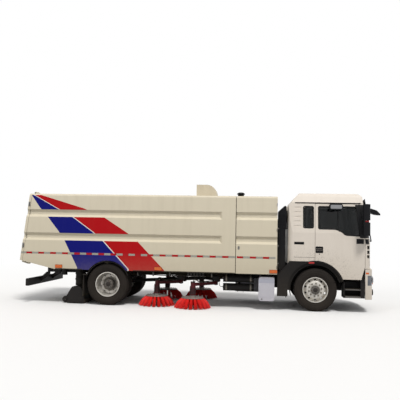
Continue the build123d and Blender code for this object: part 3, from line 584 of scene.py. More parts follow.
plainTable = {
    # name, colour, roughness, dust from and to, its amount and tint, then what differs
    "chassis": ("chassis_black", (19, 19, 21), 0.5, 0.2, 1.3, 0.3, "mud"),
    "machine": ("machine_grey", (40, 40, 42), 0.45, 0.2, 1.6, 0.4, "mud", {"grain": 0.3}),
    "axle": ("axle_black", (24, 23, 23), 0.55, 0.1, 1.0, 0.4, "mud", {"grain": 0.3}),
    "nut": ("nut_steel", (150, 144, 134), 0.38, 0.1, 1.0, 0.5, "mud", {"metal": 0.7}),
    "hub": ("hub_dark", (48, 44, 42), 0.42, 0.1, 1.0, 0.5, "mud", {"grain": 0.3}),
    "tank": ("tank_grey", (206, 205, 214), 0.35, 0.1, 1.0, 0.2, "dust"),
    "arm": ("arm_maroon", (86, 22, 32), 0.45, 0.1, 1.0, 0.6, "mud"),
    "steel": ("bright_steel", (122, 120, 117), 0.34, 0.2, 1.2, 0.4, "mud", {"metal": 0.9}),
    "castIron": ("cast_iron", (46, 46, 48), 0.62, 0.2, 1.4, 0.4, "mud", {"grain": 0.6}),
    "bristle": ("brush_red", (238, 46, 42), 0.42, 0.0, 0.12, 0.25, "mud"),
    "plate": ("brush_plate", (150, 138, 132), 0.4, 0.0, 0.5, 0.5, "mud", {"metal": 0.4}),
    "chrome": ("chrome", (150, 150, 152), 0.1, 0.2, 1.0, 0.2, "dust", {"metal": 1.0, "grain": 0.02}),
    "mirror": ("mirror_glass", (120, 124, 130), 0.04, 0.2, 1.0, 0.1, "dust", {"metal": 1.0, "grain": 0.01}),
    "seal": ("seal_rubber", (20, 20, 20), 0.7, 0.6, 1.6, 0.3, "dust", {"grain": 0.2}),
    "dark": ("dark_liner", (14, 14, 15), 0.75, 0.6, 1.6, 0.25, "dust"),
    "redLens": ("red_lens", (186, 22, 26), 0.18, 0.4, 1.4, 0.2, "dust", {"Coat_Weight": 0.6}),
    "amberLens": ("amber_lens", (224, 100, 26), 0.18, 0.4, 1.4, 0.2, "dust", {"Coat_Weight": 0.6}),
    "clearLens": ("clear_lens", (176, 182, 190), 0.12, 0.4, 1.4, 0.2, "dust", {"Coat_Weight": 0.6}),
    "tankBand": ("tank_band", (184, 186, 200), 0.4, 0.1, 1.0, 0.3, "dust"),
    "bodyPlain": ("body_roof", (206, 198, 180), 0.4, 2.2, 2.72, 0.4, "dust"),
    "under": ("body_underside", (60, 56, 50), 0.6, 0.4, 1.4, 0.6, "mud"),
}
paints = {
    "body": creamPaint(),
    "cab": cabPaint(),
    "plastic": grainedPlastic("black_plastic", srgb(22, 22, 25), 0.5, 0.12),
    "trim": grainedPlastic("trim_grey", srgb(62, 62, 66), 0.6, 0.1),
    "rubber": rubber(),
    "rimFront": rimSteel("rim_steel_front", frontAxleX, 0.125),
    "rimRear": rimSteel("rim_steel_rear", rearAxleX, 0.19),
    "glass": windowGlass(),
    "lamp": lampFinish(),
}
for key, (name, colour, rough, low, high, dust, tint, *more) in plainTable.items():
    paints[key] = plainPaint(name, srgb(*colour), rough, low, high, dust, tint, **(more[0] if more else {}))

finishOf = {
    "body": ("hopper", "exhaust_hood", "tailgate", "equipment_housing"),
    "cab": ("cab_shell", "cab_roof", "door_right", "door_left", "front_bumper"),
    "chassis": (
        "chassis_rails", "cross_members", "cab_steps", "rear_bumper", "air_tanks", "suction_nozzle",
    ),
    "axle": ("front_axle", "rear_axle", "leaf_springs", "drive_shaft", "knuckle_right", "knuckle_left"),
    "plastic": (
        "mudguards", "mirrors", "sun_visor", "kerb_mirror", "air_intake", "rain_cap", "suction_ducts",
    ),
    "rubber": ("tyre_front_right", "tyre_front_left", "tyres_rear_right", "tyres_rear_left"),
    "rimFront": ("rim_front_right", "rim_front_left"),
    "rimRear": ("rims_rear_right", "rims_rear_left"),
    "glass": ("cab_glass", "door_glass_right", "door_glass_left"),
    "lamp": ("lamps", "side_markers"),
    "tank": ("fuel_tank", "side_tank"),
    "arm": [f"brush_arm_{end}_{side}" for end in ("front", "rear") for side in sides],
    "bristle": [f"brush_{end}_{side}" for end in ("front", "rear") for side in sides],
    "castIron": ("engine_block", "aux_engine"),
    "steel": ("lift_barrels", "lift_rods"),
    "trim": ("seats", "dashboard"),
}


def paintNodes():
    for name, members in finishOf.items():
        for member in members:
            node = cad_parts[member]
            if not node.material_slots:
                node.data.materials.append(None)
            for holder in node.material_slots:
                holder.material = paints[name].material


paintNodes()
print("materials done")


tyreShape = {
    # distance from the tyre's middle, radius; out from the bead to the shoulder
    "side": (
        (0.104, 0.288), (0.106, 0.299), (0.117, 0.302), (0.122, 0.307), (0.1225, 0.316), (0.119, 0.320),
        (0.127, 0.343), (0.1315, 0.350), (0.1325, 0.358), (0.130, 0.362), (0.1355, 0.384), (0.137, 0.398),
        (0.1365, 0.415), (0.134, 0.436), (0.1295, 0.4385), (0.129, 0.446), (0.1315, 0.449), (0.126, 0.470),
        (0.121, 0.482), (0.112, 0.4915), (0.103, 0.4945),
    ),
    "ribs": ((0.101, 0.070), (0.061, 0.030), (0.021, -0.021)),  # outer and inner edge of each rib
    "treadRadius": 0.5045,
    "grooveRadius": 0.4905,
    "lugPlaces": ((0.100, 0.4985, 0.005), (0.119, 0.4935, 0.0035)),  # from the middle, radius, height
    "lugHalf": (0.0105, 0.008),
    "lugs": 54,
    "steps": 72,
}
wheelTable = {
    "tyre_front": (frontAxleX, (1.011,), "wheel_front"),
    "tyres_rear": (rearAxleX, (0.7525, 1.0625), "wheel_rear"),
}


def addTyre(mesh, x, y):
    z = axleHeight
    half = list(tyreShape["side"])
    top, low = tyreShape["treadRadius"], tyreShape["grooveRadius"]
    for outer, inner in tyreShape["ribs"]:
        edge = [(a, top - abs(k) * 0.03) for a, k in ((outer - 0.002, outer), (inner + 0.002, inner))]
        half += [(outer, low), *edge, (inner, low)]
    half = half[:-2]
    profile = [(x, y + a, z + r) for a, r in half] + [(x, y - a, z + r) for a, r in reversed(half)]
    ring, lug = fresh(2)
    addSpin(ring, profile + profile[:1], (x, y, z), (0, 1, 0), tyreShape["steps"])
    addRound(mesh, ring)
    long, wide = tyreShape["lugHalf"]
    for sign in (-1, 1):
        for a, r, tall in tyreShape["lugPlaces"]:
            middle = y + sign * a
            corner = (x - long, middle - wide, z + r - 0.010)
            addBlock(lug, corner, (x + long, middle + wide, z + r + tall), 0.002, 1)
    addRound(mesh, lug, (x, y, z), "Y", tyreShape["lugs"])


def makeTyres():
    for side, sign in sides.items():
        for name, (x, places, body) in wheelTable.items():
            mesh = bmesh.new()
            for y in places:
                addTyre(mesh, x, sign * y)
            piece = dress(mesh, f"{name}_{side}_rubber", f"{body}_{side}", "rubber")
            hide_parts(f"{name}_{side}")


wheelTrim = {
    "front": {"x": frontAxleX, "face": 1.103, "nutCircle": 0.150, "nut": 0.0165, "tall": 0.026,
              "hubFace": 1.147, "hub": 0.056, "boltCircle": 0.083, "boltFace": 1.139},
    "rear": {"x": rearAxleX, "face": 0.9195, "nutCircle": 0.167, "nut": 0.0175, "tall": 0.034,
             "hubFace": 1.0975, "hub": 0.062, "boltCircle": 0.080, "boltFace": 1.0975},
}
capProfile = ((0.0, 0.011), (0.3, 0.0105), (0.62, 0.008), (0.86, 0.004), (1.0, -0.001), (0.0, -0.001))


def makeWheelTrim(end, side, sign):
    trim = wheelTrim[end]
    axle, z, face, hubFace = trim["x"], axleHeight, trim["face"], trim["hubFace"]
    nuts, caps = fresh(2)
    for px, pz in ringOf(10, trim["nutCircle"], (axle, z), 0.2):
        sideRod(nuts, sign, px, (face, face + 0.003), pz, trim["nut"] * 1.35, None, 14)
        addNut(nuts, (px, sign * face, pz), (0, sign, 0), trim["nut"], trim["tall"])
    px, pz = next(ringOf(1, 0.262, (axle, z), 1.1))  # tyre valve
    valve = ((px, sign * (face - 0.02), pz), (px + 0.01, sign * (face + 0.03), pz + 0.02))
    addRod(nuts, *valve, 0.005, segments=8)
    points = [(axle, sign * (hubFace + out), z + trim["hub"] * r) for r, out in capProfile]
    addSpin(caps, points, (axle, 0, z), (0, 1, 0), 32)
    addNut(caps, (axle, sign * (hubFace + 0.009), z), (0, sign, 0), 0.014, 0.006)
    for px, pz in ringOf(8, trim["boltCircle"], (axle, z)):
        addNut(caps, (px, sign * (trim["boltFace"] - 0.004), pz), (0, sign, 0), 0.010, 0.012)
    dress(nuts, f"wheel_nuts_{end}_{side}", f"wheel_{end}_{side}", "nut")
    dress(caps, f"hub_cap_{end}_{side}", f"wheel_{end}_{side}", "hub")


brushShape = {
    "centres": {"front": (-0.065, 1.130), "rear": (-0.985, 0.850)},
    "plate": ((0.0, 0.292), (0.05, 0.292), (0.078, 0.286), (0.082, 0.262), (0.20, 0.262), (0.268, 0.252),
              (0.275, 0.244), (0.272, 0.230), (0.0, 0.228)),  # radius, height
    "clusters": 20,
    "bristles": 56,
    "inner": (0.196, 0.262),  # where the bristles leave the plate
    "outer": (0.366, 0.449),  # where they meet the ground
    "thick": 0.0042,
}


def addBristles(mesh, centre):
    cluster = bmesh.new()
    low, high = brushShape["inner"]
    near, out = brushShape["outer"]
    thick = brushShape["thick"]
    for k in range(brushShape["bristles"]):
        row, side = (k % 7) / 6, (k // 7 - 3.5) / 3.5
        lean = random.uniform(-0.007, 0.007)
        reach = near + (out - near) * row + random.uniform(-0.012, 0.003)
        foot = Vector((low + (high - low) * row, side * 0.021, 0.236))
        end = Vector((reach, side * 0.033 + lean, random.uniform(0.003, 0.022)))
        middle = (foot + end) / 2 + Vector((0.012, lean * 0.3, 0.014 + 0.006 * row))
        addRod(cluster, foot, middle, thick, thick * 0.9, 3)
        addRod(cluster, middle, end, thick * 0.9, thick * 0.45, 3)
    cluster.transform(Matrix.Translation(centre))
    addRound(mesh, cluster, centre, "Z", brushShape["clusters"])


def makeBrush(end, side, sign):
    x, y = brushShape["centres"][end]
    y *= sign
    body = f"sweep_{end}_{side}"
    mesh, plate = fresh(2)
    addBristles(mesh, (x, y, 0))
    piece = dress(mesh, f"bristles_{end}_{side}", body, "bristle", smooth=False)
    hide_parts(f"brush_{end}_{side}")
    addSpin(plate, [(x + r, y, z) for r, z in brushShape["plate"]], (x, y, 0), (0, 0, 1), 48)
    upRod(plate, x, y, (0.285, 0.37), 0.02)
    for px, py in ringOf(brushShape["clusters"], 0.232, (x, y)):
        upRod(plate, px, py, (0.24, 0.267), 0.013, 0.011, 8)
    for px, py in ringOf(6, 0.062, (x, y)):
        addNut(plate, (px, py, 0.285), (0, 0, 1), 0.009, 0.014)
    dress(plate, f"brush_plate_{end}_{side}", body, "plate")


makeTyres()
for end in wheelTrim:
    for side, sign in sides.items():
        makeWheelTrim(end, side, sign)
print("wheels done")
random.seed(7)
for side, sign in sides.items():
    for end in brushShape["centres"]:
        makeBrush(end, side, sign)
print("brushes done")


cab = {
    "side": 1.150,  # half width up to the belt
    "beltZ": 1.850,
    "gutterZ": 2.570,
    "gutterSide": 1.080,
    "slideX": 3.365,  # bar of the sliding door window
    "screenFoot": (4.205, 1.640),
    "screenLean": 0.17,
    "screenCorners": ((-1.02, 1.680), (1.02, 1.680), (0.97, 2.490), (-0.97, 2.490)),
    "doorWindow": (
        (2.912, 1.949), (3.341, 1.945), (3.525, 1.810), (3.885, 1.792), (3.790, 2.480), (2.912, 2.480),
    ),
    "quarterWindow": ((2.560, 1.968), (2.790, 1.968), (2.790, 2.480), (2.560, 2.480)),
    "vents": ((1.275, 1.352), (1.378, 1.458), (1.484, 1.572)),
}


def screenX(y, z):  # the windscreen's skin
    return cab["screenFoot"][0] - cab["screenLean"] * (z - cab["screenFoot"][1]) - 0.0478 * y * y


def onSide(sign, x, z, out=0.0):  # a place on the cab's side, which leans in above the belt
    share = max(0, (z - cab["beltZ"]) / (cab["gutterZ"] - cab["beltZ"]))
    return Vector((x, sign * (cab["side"] + (cab["gutterSide"] - cab["side"]) * share + out), z))


def addSeal(mesh, sign, corners):  # frame round a window, a little wider than it
    midX, midZ = [sum(c[k] for c in corners) / len(corners) for k in range(2)]
    grown = [(x + (0.014 if x > midX else -0.014), z + (0.014 if z > midZ else -0.014)) for x, z in corners]
    addPlate(mesh, [onSide(sign, x, z, 0.002) for x, z in grown], (0, -sign * 0.014, 0), 0.045, 0.026)


def makeSeals():
    for side, sign in sides.items():
        door, fixed = fresh(2)
        addSeal(door, sign, cab["doorWindow"])
        addSeal(fixed, sign, cab["quarterWindow"])
        foot, top = [onSide(sign, cab["slideX"], z, -0.014) for z in (1.93, 2.49)]
        addRod(door, foot, top, 0.010, segments=8)
        gutter = (cab["gutterSide"] - 0.012, cab["gutterSide"] + 0.012)
        sideBlock(fixed, sign, (2.36, 3.90), gutter, (2.556, 2.578), 0.004)
        dress(door, f"door_seal_{side}", f"{side}_door", "seal")
        dress(fixed, f"cab_seal_{side}", "chassis", "seal")
    screen, rear = fresh(2)
    corners = cab["screenCorners"]
    ring = []
    for start, end in zip(corners, corners[1:] + corners[:1]):
        for k in range(8):
            y, z = [a + (b - a) * k / 8 for a, b in zip(start, end)]
            ring.append((screenX(y, z) + 0.001, y, z))
    addPipe(screen, ring + ring[:1], 0.013)
    dress(screen, "windscreen_seal", "chassis", "seal")
    addPanel(rear, 0, 2.196, (-0.575, 0.575), (1.935, 2.395), 0.016, 0.05, 0.028)
    dress(rear, "rear_window_seal", "chassis", "seal")


wiper = {"feet": (-0.62, 0.30), "footZ": 1.672, "reach": 0.52, "tipZ": 2.12, "blade": (-0.10, 0.28, 0.42)}


def makeWipers():
    mesh = bmesh.new()
    blade = Vector(wiper["blade"]).normalized() * 0.33
    reach = wiper["reach"]
    for y in wiper["feet"]:
        foot = Vector((screenX(y, wiper["footZ"]) + 0.016, y, wiper["footZ"]))
        tip = Vector((screenX(y + reach, wiper["tipZ"]) + 0.03, y + reach * 0.62, wiper["tipZ"]))
        addRod(mesh, foot - Vector((0.02, 0, 0)), foot + Vector((0.014, 0, 0)), 0.016)
        addRod(mesh, foot, tip, 0.009, 0.006, 8)
        addRod(mesh, tip - blade, tip + blade, 0.007, 0.005, 6)
        addBlock(mesh, tip - Vector((0.012, 0.02, 0.02)), tip + Vector((0.006, 0.02, 0.02)), 0.004)
    dress(mesh, "wipers", "chassis", "plastic")


doorTrim = {
    # each block: x, how far inside or outside the skin, z, rounding
    "pocket": ((2.852, 3.010), (-0.0178, -0.0160), (1.387, 1.520), 0),
    "bar": ((2.846, 3.016), (-0.010, 0.003), (1.434, 1.474), 0.006),
    "band": ((3.788, 3.958), (-0.004, 0.010), (1.612, 1.728), 0.006),
    "frame": ((2.842, 3.020), (1.377, 1.530)),
    "slot": ((2.342, 2.573), (-0.0142, -0.0125), (1.570, 1.630), 0),
    "seam": ((2.335, 2.826), (-0.002, 0.0006), (1.266, 1.272), 0),
    # the band's front part follows the cab's corner: x, distance outside the skin
    "corner": ((4.004, 0.006), (4.030, 0.009), (4.075, -0.020), (4.093, -0.052), (4.080, -0.062),
               (4.062, -0.030), (4.024, -0.004), (4.004, -0.001)),
    "ventX": (4.040, 4.062, 4.084),
}


def addTrim(mesh, sign, x, out, z, edge=0.0):
    sideBlock(mesh, sign, x, [cab["side"] + k for k in out], z, edge)


def makeDoorTrim():
    skin = cab["side"]
    for side, sign in sides.items():
        door, fixed, dark = fresh(3)
        for name in ("pocket", "bar", "band"):
            addTrim(door, sign, *doorTrim[name])
        addPanel(door, 1, sign * (skin + 0.002), *doorTrim["frame"], -sign * 0.008, 0.02, 0.012)
        sideRod(door, sign, 2.935, (skin - 0.004, skin + 0.003), 1.352, 0.013)
        dress(door, f"door_handle_{side}", f"{side}_door", "plastic")
        low, high = doorTrim["band"][2]
        corners = [(x, sign * (skin + out), low) for x, out in doorTrim["corner"]]
        addPlate(fixed, corners, (-0.012, 0, high - low))
        addTrim(fixed, sign, *doorTrim["slot"])
        for low in (1.578, 1.596, 1.614):
            addTrim(fixed, sign, (2.350, 2.565), (-0.0125, -0.004), (low, low + 0.006), 0.002)
        dress(fixed, f"corner_band_{side}", "chassis", "plastic")
        addTrim(dark, sign, *doorTrim["seam"])
        for low, high in cab["vents"]:  # dark backs of the corner vents
            for x in doorTrim["ventX"]:
                away = -0.022 - (x - 3.975) ** 2 * 3.9
                out, height = (away - 0.008, away + 0.003), (low + 0.004, high - 0.004)
                addTrim(dark, sign, (x - 0.004, x + 0.010), out, height)
        dress(dark, f"vent_backs_{side}", "chassis", "dark")


mirrorPlaces = {
    "heads": ((2.165, 2.535), (1.800, 2.110)),
    "back": ((3.962, 1.250), (3.890, 1.425)),  # the head's rear corners, inner and outer
    "glassIn": 0.018,
    "rimIn": 0.004,
    "lookDown": (
        (4.130, -0.975, 2.3545), (4.362, -0.975, 2.2925), (4.362, -0.825, 2.2925), (4.130, -0.825, 2.3545),
    ),
}


def makeMirrorGlass():
    (x1, y1), (x2, y2) = mirrorPlaces["back"]
    for side, sign in sides.items():
        glass, shell = fresh(2)
        inner, outer = Vector((x1, sign * y1, 0)), Vector((x2, sign * y2, 0))
        along = (outer - inner).normalized()
        out = Vector((-(y2 - y1), -sign * (x1 - x2), 0)).normalized()

        def corners(inset, low, high, ahead):
            start, end = inner + along * inset + out * ahead, outer - along * inset + out * ahead
            low, high = [Vector((0, 0, z)) for z in (low + inset, high - inset)]
            return [start + low, end + low, end + high, start + high]

        for low, high in mirrorPlaces["heads"]:
            addPlate(glass, corners(mirrorPlaces["glassIn"], low, high, 0.002), -out * 0.004, 0.02)
            addPlate(shell, corners(mirrorPlaces["rimIn"], low, high, 0.003), -out * 0.006, 0.025, 0.014)
        dress(glass, f"mirror_glass_{side}", "chassis", "mirror")
        dress(shell, f"mirror_rims_{side}", "chassis", "plastic")
    red, grey, kerb, back = fresh(4)
    for sign in sides.values():
        sideBlock(red, sign, (3.950, 4.035), (1.30, 1.395), (2.117, 2.158), 0.008)
    dress(red, "mirror_markers", "chassis", "redLens")
    addPlate(grey, mirrorPlaces["lookDown"], (0.001, 0, 0.004), 0.02)
    dress(grey, "look_down_glass", "chassis", "mirror")
    addPanel(kerb, 2, 2.4035, (3.165, 3.435), (-1.278, -1.162), 0.004, 0.02)
    dress(kerb, "kerb_glass", "right_door", "mirror")
    addPanel(back, 1, -1.2915, (3.170, 3.430), (2.425, 2.515), 0.004, 0.02)
    dress(back, "kerb_mirror_back", "right_door", "chrome")


front = {
    "lamps": ((0.85, 0.078), (1.00, 0.062)),  # y, radius
    "lampZ": 0.765,
    "repeater": (0.93, 0.675),
    "fog": (0.90, 0.470),
    "towCover": (0.36, 0.44),
    "slots": ((0.560, 0.640), (0.720, 0.800)),
    "grilleLow": 1.130,
    "grillePitch": 0.090,
}


def bumperX(y):  # the bumper's front skin
    away = max(0, abs(y) - 0.48)
    return 4.236 - 0.11 * away ** 1.5 - 0.02 * min(abs(y) / 0.48, 1) ** 2 * 0.2


def addFrontLamps(chrome, dark, clear, amber, sign):
    lean = Vector((1, sign * 0.12, 0)).normalized()
    for y, size in front["lamps"]:
        centre = Vector((bumperX(y) - 0.012, sign * y, front["lampZ"]))
        addRod(chrome, centre, centre + lean * 0.018, size + 0.010, size + 0.004, 28)
        addRod(clear, centre + lean * 0.016, centre + lean * 0.024, size, size * 0.8, 28)

    def boss(mesh, place, start, end, radius, tip, segments):  # a short rod standing out of the bumper
        y, z = place
        x = bumperX(y)
        addRod(mesh, (x + start, sign * y, z), (x + end, sign * y, z), radius, tip, segments)

    boss(amber, front["repeater"], -0.006, 0.006, 0.020, 0.017, 16)
    boss(dark, front["fog"], -0.004, 0.004, 0.072, None, 28)
    boss(clear, front["fog"], 0.002, 0.010, 0.055, 0.048, 28)
    y, z = front["towCover"]
    addRod(dark, (4.236, sign * y, z), (4.243, sign * y, z), 0.045, segments=24)
    addNut(chrome, (4.240, sign * y, z), (1, 0, 0), 0.012, 0.008)
    addPanel(amber, 1, sign * 1.1515, (4.005, 4.075), (0.905, 0.945), -sign * 0.006, 0.012)


def addBars(mesh, x, z, count, pitch, half, y):  # a back plate from x[0] and upright bars out to x[2]
    addBlock(mesh, (x[0], -y, z[0]), (x[1], y, z[1]))
    for k in range(count):
        middle = (k - (count - 1) / 2) * pitch
        addBlock(mesh, (x[1], middle - half, z[2]), (x[2], middle + half, z[3]), 0.001)


cornerFiller = {
    "centre": (3.975, 1.0),
    "radii": (0.1485, 0.136),
    "z": (1.024, 1.104),
    "end": ((4.1420, 0.880), (4.1296, 0.880)),
}


def makeFront():
    chrome, dark, clear, amber, filler = fresh(5)
    for sign in (-1, 1):
        addFrontLamps(chrome, dark, clear, amber, sign)
    for low, high in front["slots"]:
        addBars(dark, (4.170, 4.178, 4.196), (low - 0.01, high + 0.01, low, high), 17, 0.0775, 0.004, 0.64)
    for k in range(5):
        low = front["grilleLow"] + front["grillePitch"] * k
        heights = (low + 0.002, low + 0.058, low + 0.003, low + 0.057)
        addBars(dark, (4.166, 4.171, 4.186), heights, 9, 0.14, 0.003, 0.62)
    dress(chrome, "lamp_bezels", "chassis", "chrome")
    dress(dark, "grille_mesh", "chassis", "dark")
    dress(clear, "lamp_glasses", "chassis", "clearLens")
    dress(amber, "front_repeaters", "chassis", "amberLens")
    cx, cy = cornerFiller["centre"]
    low, high = cornerFiller["z"]
    turns = [radians(8.2 + 7 * k) for k in range(8)]
    outer, inner = [[(cx + r * cos(a), cy + r * sin(a)) for a in turns] for r in cornerFiller["radii"]]
    first, last = cornerFiller["end"]
    for sign in (-1, 1):  # close the shell's front corners above the bumper
        ring = [first, *outer, *reversed(inner), last]
        addPlate(filler, [(x, sign * y, low) for x, y in ring], (0, 0, high - low))
    dress(filler, "corner_fillers", "chassis", "cab")


def makeSteps():
    silver, grips, red, flap = fresh(4)
    for sign in sides.values():
        for z in ((0.342, 0.376), (0.524, 0.541)):
            sideBlock(silver, sign, (3.540, 3.890), (1.1385, 1.1425), z, 0.0015)
        for low in (0.3800, 0.5450):
            for k in range(9):
                x = 3.545 + k * 0.049
                sideBlock(silver, sign, (x, x + 0.022), (0.86, 1.125), (low, low + 0.0035), 0.001)
            for k in range(4):
                y = 0.90 + k * 0.065
                sideBlock(grips, sign, (3.53, 3.95), (y - 0.008, y + 0.008), (low, low + 0.005), 0.001)
        sideBlock(red, sign, (2.685, 2.812), (1.158, 1.166), (1.122, 1.162), 0.004)
        addPanel(flap, 0, 2.158, (sign * 1.140, sign * 0.79), (0.300, 0.66), 0.008, 0.01)
        for y in (0.84, 0.965, 1.09):
            addNut(flap, (2.158, sign * y, 0.63), (-1, 0, 0), 0.011, 0.009)
    dress(silver, "step_treads", "chassis", "steel")
    dress(grips, "step_grips", "chassis", "seal")
    dress(red, "guard_markers", "chassis", "redLens")
    dress(flap, "front_flaps", "chassis", "seal")


makeSeals()
makeWipers()
makeDoorTrim()
makeMirrorGlass()
makeFront()
makeSteps()
print("cab trim done")


bodyTrim = {
    "side": 1.240,
    "latchZ": (1.42, 2.44),
    "hingeY": (-0.9, 0.0, 0.9),
    "hinge": (-4.143, 2.738),
    "handleY": (-0.765, 0.765),
    "hatch": ((-1.284, -0.955), 0.26, 2.728),
    "stiffenerX": (-3.6, -3.0, -2.4, -1.8, -0.6, 0.62),
    "rubRuns": ((-3.46, -2.79), (-1.52, 0.945)),
    "tippingTube": (-3.830, 0.985),
    "ribX": (-3.55, -2.95, -1.35, -0.75, -0.15, 0.45),
    "ribY": ((-1.18, -0.432), (-0.348, 0.348), (0.432, 1.18)),
    "nozzleRib": -2.95,  # only the middle of this one is there, between the ducts
}


def rearX(z):  # the tailgate's outer face
    return -4.370 + 0.197 * (z - 1.050) / 1.650


def makeTailgateTrim():
    steel, seal = fresh(2)
    skin = bodyTrim["side"]
    for sign in sides.values():
        for z in bodyTrim["latchZ"]:  # over-centre latches on the gate's edge
            x = rearX(z)
            across = (skin - 0.003, skin + 0.012)
            sideBlock(steel, sign, (x + 0.006, x + 0.052), across, (z - 0.055, z + 0.055), 0.005)
            sideRod(steel, sign, x + 0.030, (skin + 0.004, skin + 0.022), z + 0.03, 0.010, None, 10)
            y = sign * (skin + 0.017)
            addRod(steel, (x + 0.030, y, z + 0.03), (x + 0.026, y, z - 0.07), 0.006, segments=8)
        low, high = [(rearX(z) + 0.064, sign * 1.215, z) for z in (1.09, 2.66)]
        addRod(seal, low, high, 0.0035, segments=6)
    x, z = bodyTrim["hinge"]
    for y in bodyTrim["hingeY"]:
        for end in (-1, 1):
            addNut(steel, (x, y + end * 0.064, z), (0, end, 0), 0.016, 0.010)
    z = 1.50
    x = rearX(z) + 0.024
    for middle in bodyTrim["handleY"]:
        half = [(x, middle - 0.11, z), (x - 0.040, middle - 0.11, z), (x - 0.052, middle - 0.09, z)]
        addPipe(steel, half + [(a, 2 * middle - b, c) for a, b, c in reversed(half)], 0.009)
    dress(steel, "tailgate_hardware", "tailgate_body", "steel")
    dress(seal, "tailgate_seal", "tailgate_body", "seal")


def makeRoofGear():
    parts, dark, bolts = fresh(3)
    (start, end), half, top = bodyTrim["hatch"]
    inner = half - 0.02
    addPanel(parts, 2, top, (start + 0.02, end - 0.02), (-inner, inner), 0.010, 0.03)
    for y in (-0.16, 0.16):
        pin = [(start - 0.006, y + end, top + 0.002) for end in (-0.05, 0.05)]
        addRod(parts, *pin, 0.012, segments=12)
    handle = ((-0.09, 0.006), (-0.09, 0.036), (0.09, 0.036), (0.09, 0.006))
    addPipe(parts, [(end - 0.08, y, top + z) for y, z in handle], 0.007)
    for x in bodyTrim["stiffenerX"]:
        addPanel(parts, 2, 2.7, (x, x + 0.06), (-1.05, 1.05), 0.009, 0.02)
    dress(parts, "roof_gear", "hopper_body", "bodyPlain")
    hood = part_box("exhaust_hood")[0].x
    x = hood + 0.045
    for k in range(9):  # bars across the exhaust's mouth
        z = 2.735 + k * 0.032
        bar = [(x, -0.235, z), (x + 0.022, -0.235, z + 0.008), (x + 0.022, 0.235, z + 0.008), (x, 0.235, z)]
        addPlate(dark, bar, (0, 0, 0.003))
    for y in (-0.12, 0.0, 0.12):
        upRod(dark, x + 0.025, y, (2.712, 3.025), 0.005, None, 8)
    dress(dark, "exhaust_grille", "hopper_body", "dark")
    for sign in (-1, 1):
        for k in range(6):
            addNut(bolts, (hood + 0.05 + k * 0.084, sign * 0.268, 2.700), (0, 0, 1), 0.009, 0.010)
    dress(bolts, "hood_bolts", "hopper_body", "steel")


def makeHopperGear():
    steel, rail, ribs = fresh(3)
    x, z = bodyTrim["tippingTube"]
    for sign in sides.values():
        for run in bodyTrim["rubRuns"]:
            sideBlock(rail, sign, run, (1.2395, 1.2425), (0.852, 0.868), 0.001)
        sideRod(steel, sign, x, (0.510, 0.526), z, 0.062, 0.056, 24)
        for px, pz in ringOf(4, 0.044, (x, z), 0.4):
            addNut(steel, (px, sign * 0.524, pz), (0, sign, 0), 0.009, 0.010)
    dress(steel, "tipping_caps", "chassis", "steel")
    dress(rail, "rub_strips", "hopper_body", "seal")
    for x in bodyTrim["ribX"]:
        spans = bodyTrim["ribY"][1:2] if x == bodyTrim["nozzleRib"] else bodyTrim["ribY"]
        for start, end in spans:
            addBlock(ribs, (x, start, 1.052), (x + 0.05, end, 1.1005), 0.004)
    dress(ribs, "floor_ribs", "hopper_body", "under")


housing = {
    "front": 1.940,
    "louvreZ": 1.34,
    "hingeZ": (1.02, 1.90, 2.50),
    "lock": ((1.005, 1.050), (1.42, 1.50)),
    "lines": ((-0.985, 2.16), (-0.925, 2.10), (-0.865, 2.02)),  # y and top of the pipes up the front wall
    "clampZ": (1.10, 1.52, 1.94),
    "coverRadius": 0.099,
    # rain cap's cover: share of the radius, height from the cap's top
    "cover": ((0.0, 0.012), (0.5, 0.008), (0.85, -0.008), (1, -0.030), (0.99, -0.044), (0.0, -0.042)),
}


def makeHousingGear():
    dark, steel = fresh(2)
    for k in range(7):  # louvres low on the far side
        z = housing["louvreZ"] + k * 0.026
        sideBlock(dark, sides["left"], (1.20, 1.70), (1.2385, 1.2415), (z, z + 0.010), 0.001)
    for sign in sides.values():
        for z in housing["hingeZ"]:
            upRod(steel, 1.930, sign * 1.243, (z - 0.035, z + 0.035), 0.007, None, 10)
        addPanel(steel, 1, sign * 1.2415, *housing["lock"], -sign * 0.004, 0.012)
        sideRod(steel, sign, 1.0275, (1.2405, 1.2475), 1.46, 0.012, None, 14)
    x = housing["front"]
    addPanel(dark, 0, x - 0.002, (-0.95, 0.95), (1.10, 2.20), 0.006, 0.05)  # radiator panel facing the cab
    for k in range(26):
        z = 1.13 + k * 0.040
        edges = ((0.004, -0.92, 0), (0.004, 0.92, 0), (0.010, 0.92, 0.012), (0.010, -0.92, 0.012))
        addPlate(steel, [(x + out, y, z + up) for out, y, up in edges], (0.002, 0, 0))
    for y, top in housing["lines"]:
        bends = ((0.024, 0, 1.3), (0.026, 0.01, 1.7), (0.024, 0, top - 0.06))
        route = ((0.024, 0, 0.96), *bends, (0.010, 0, top))
        addPipe(dark, [(x + out, y + aside, z) for out, aside, z in route], 0.019)
    for z in housing["clampZ"]:
        addBlock(steel, (x, -1.01, z - 0.012), (x + 0.046, -0.84, z + 0.012), 0.004)
    dress(dark, "housing_louvres", "chassis", "dark")
    dress(steel, "housing_fittings", "chassis", "steel")


def makeRainCap():
    cap = bmesh.new()
    centre, top = middleOf("rain_cap"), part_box("rain_cap")[1].z
    radius = housing["coverRadius"]
    profile = [(centre.x + radius * share, centre.y, top + up) for share, up in housing["cover"]]
    addSpin(cap, profile, (centre.x, centre.y, 0), (0, 0, 1), 36)
    for x, y in ringOf(12, 0.060, centre):
        upRod(cap, x, y, (2.705, top - 0.045), 0.004, None, 6)
    dress(cap, "rain_cap_cover", "chassis", "plastic")


markerTable = {"hopper": ("hopper_body", (-3.373, -0.904)), "housing": ("chassis", (1.851,))}


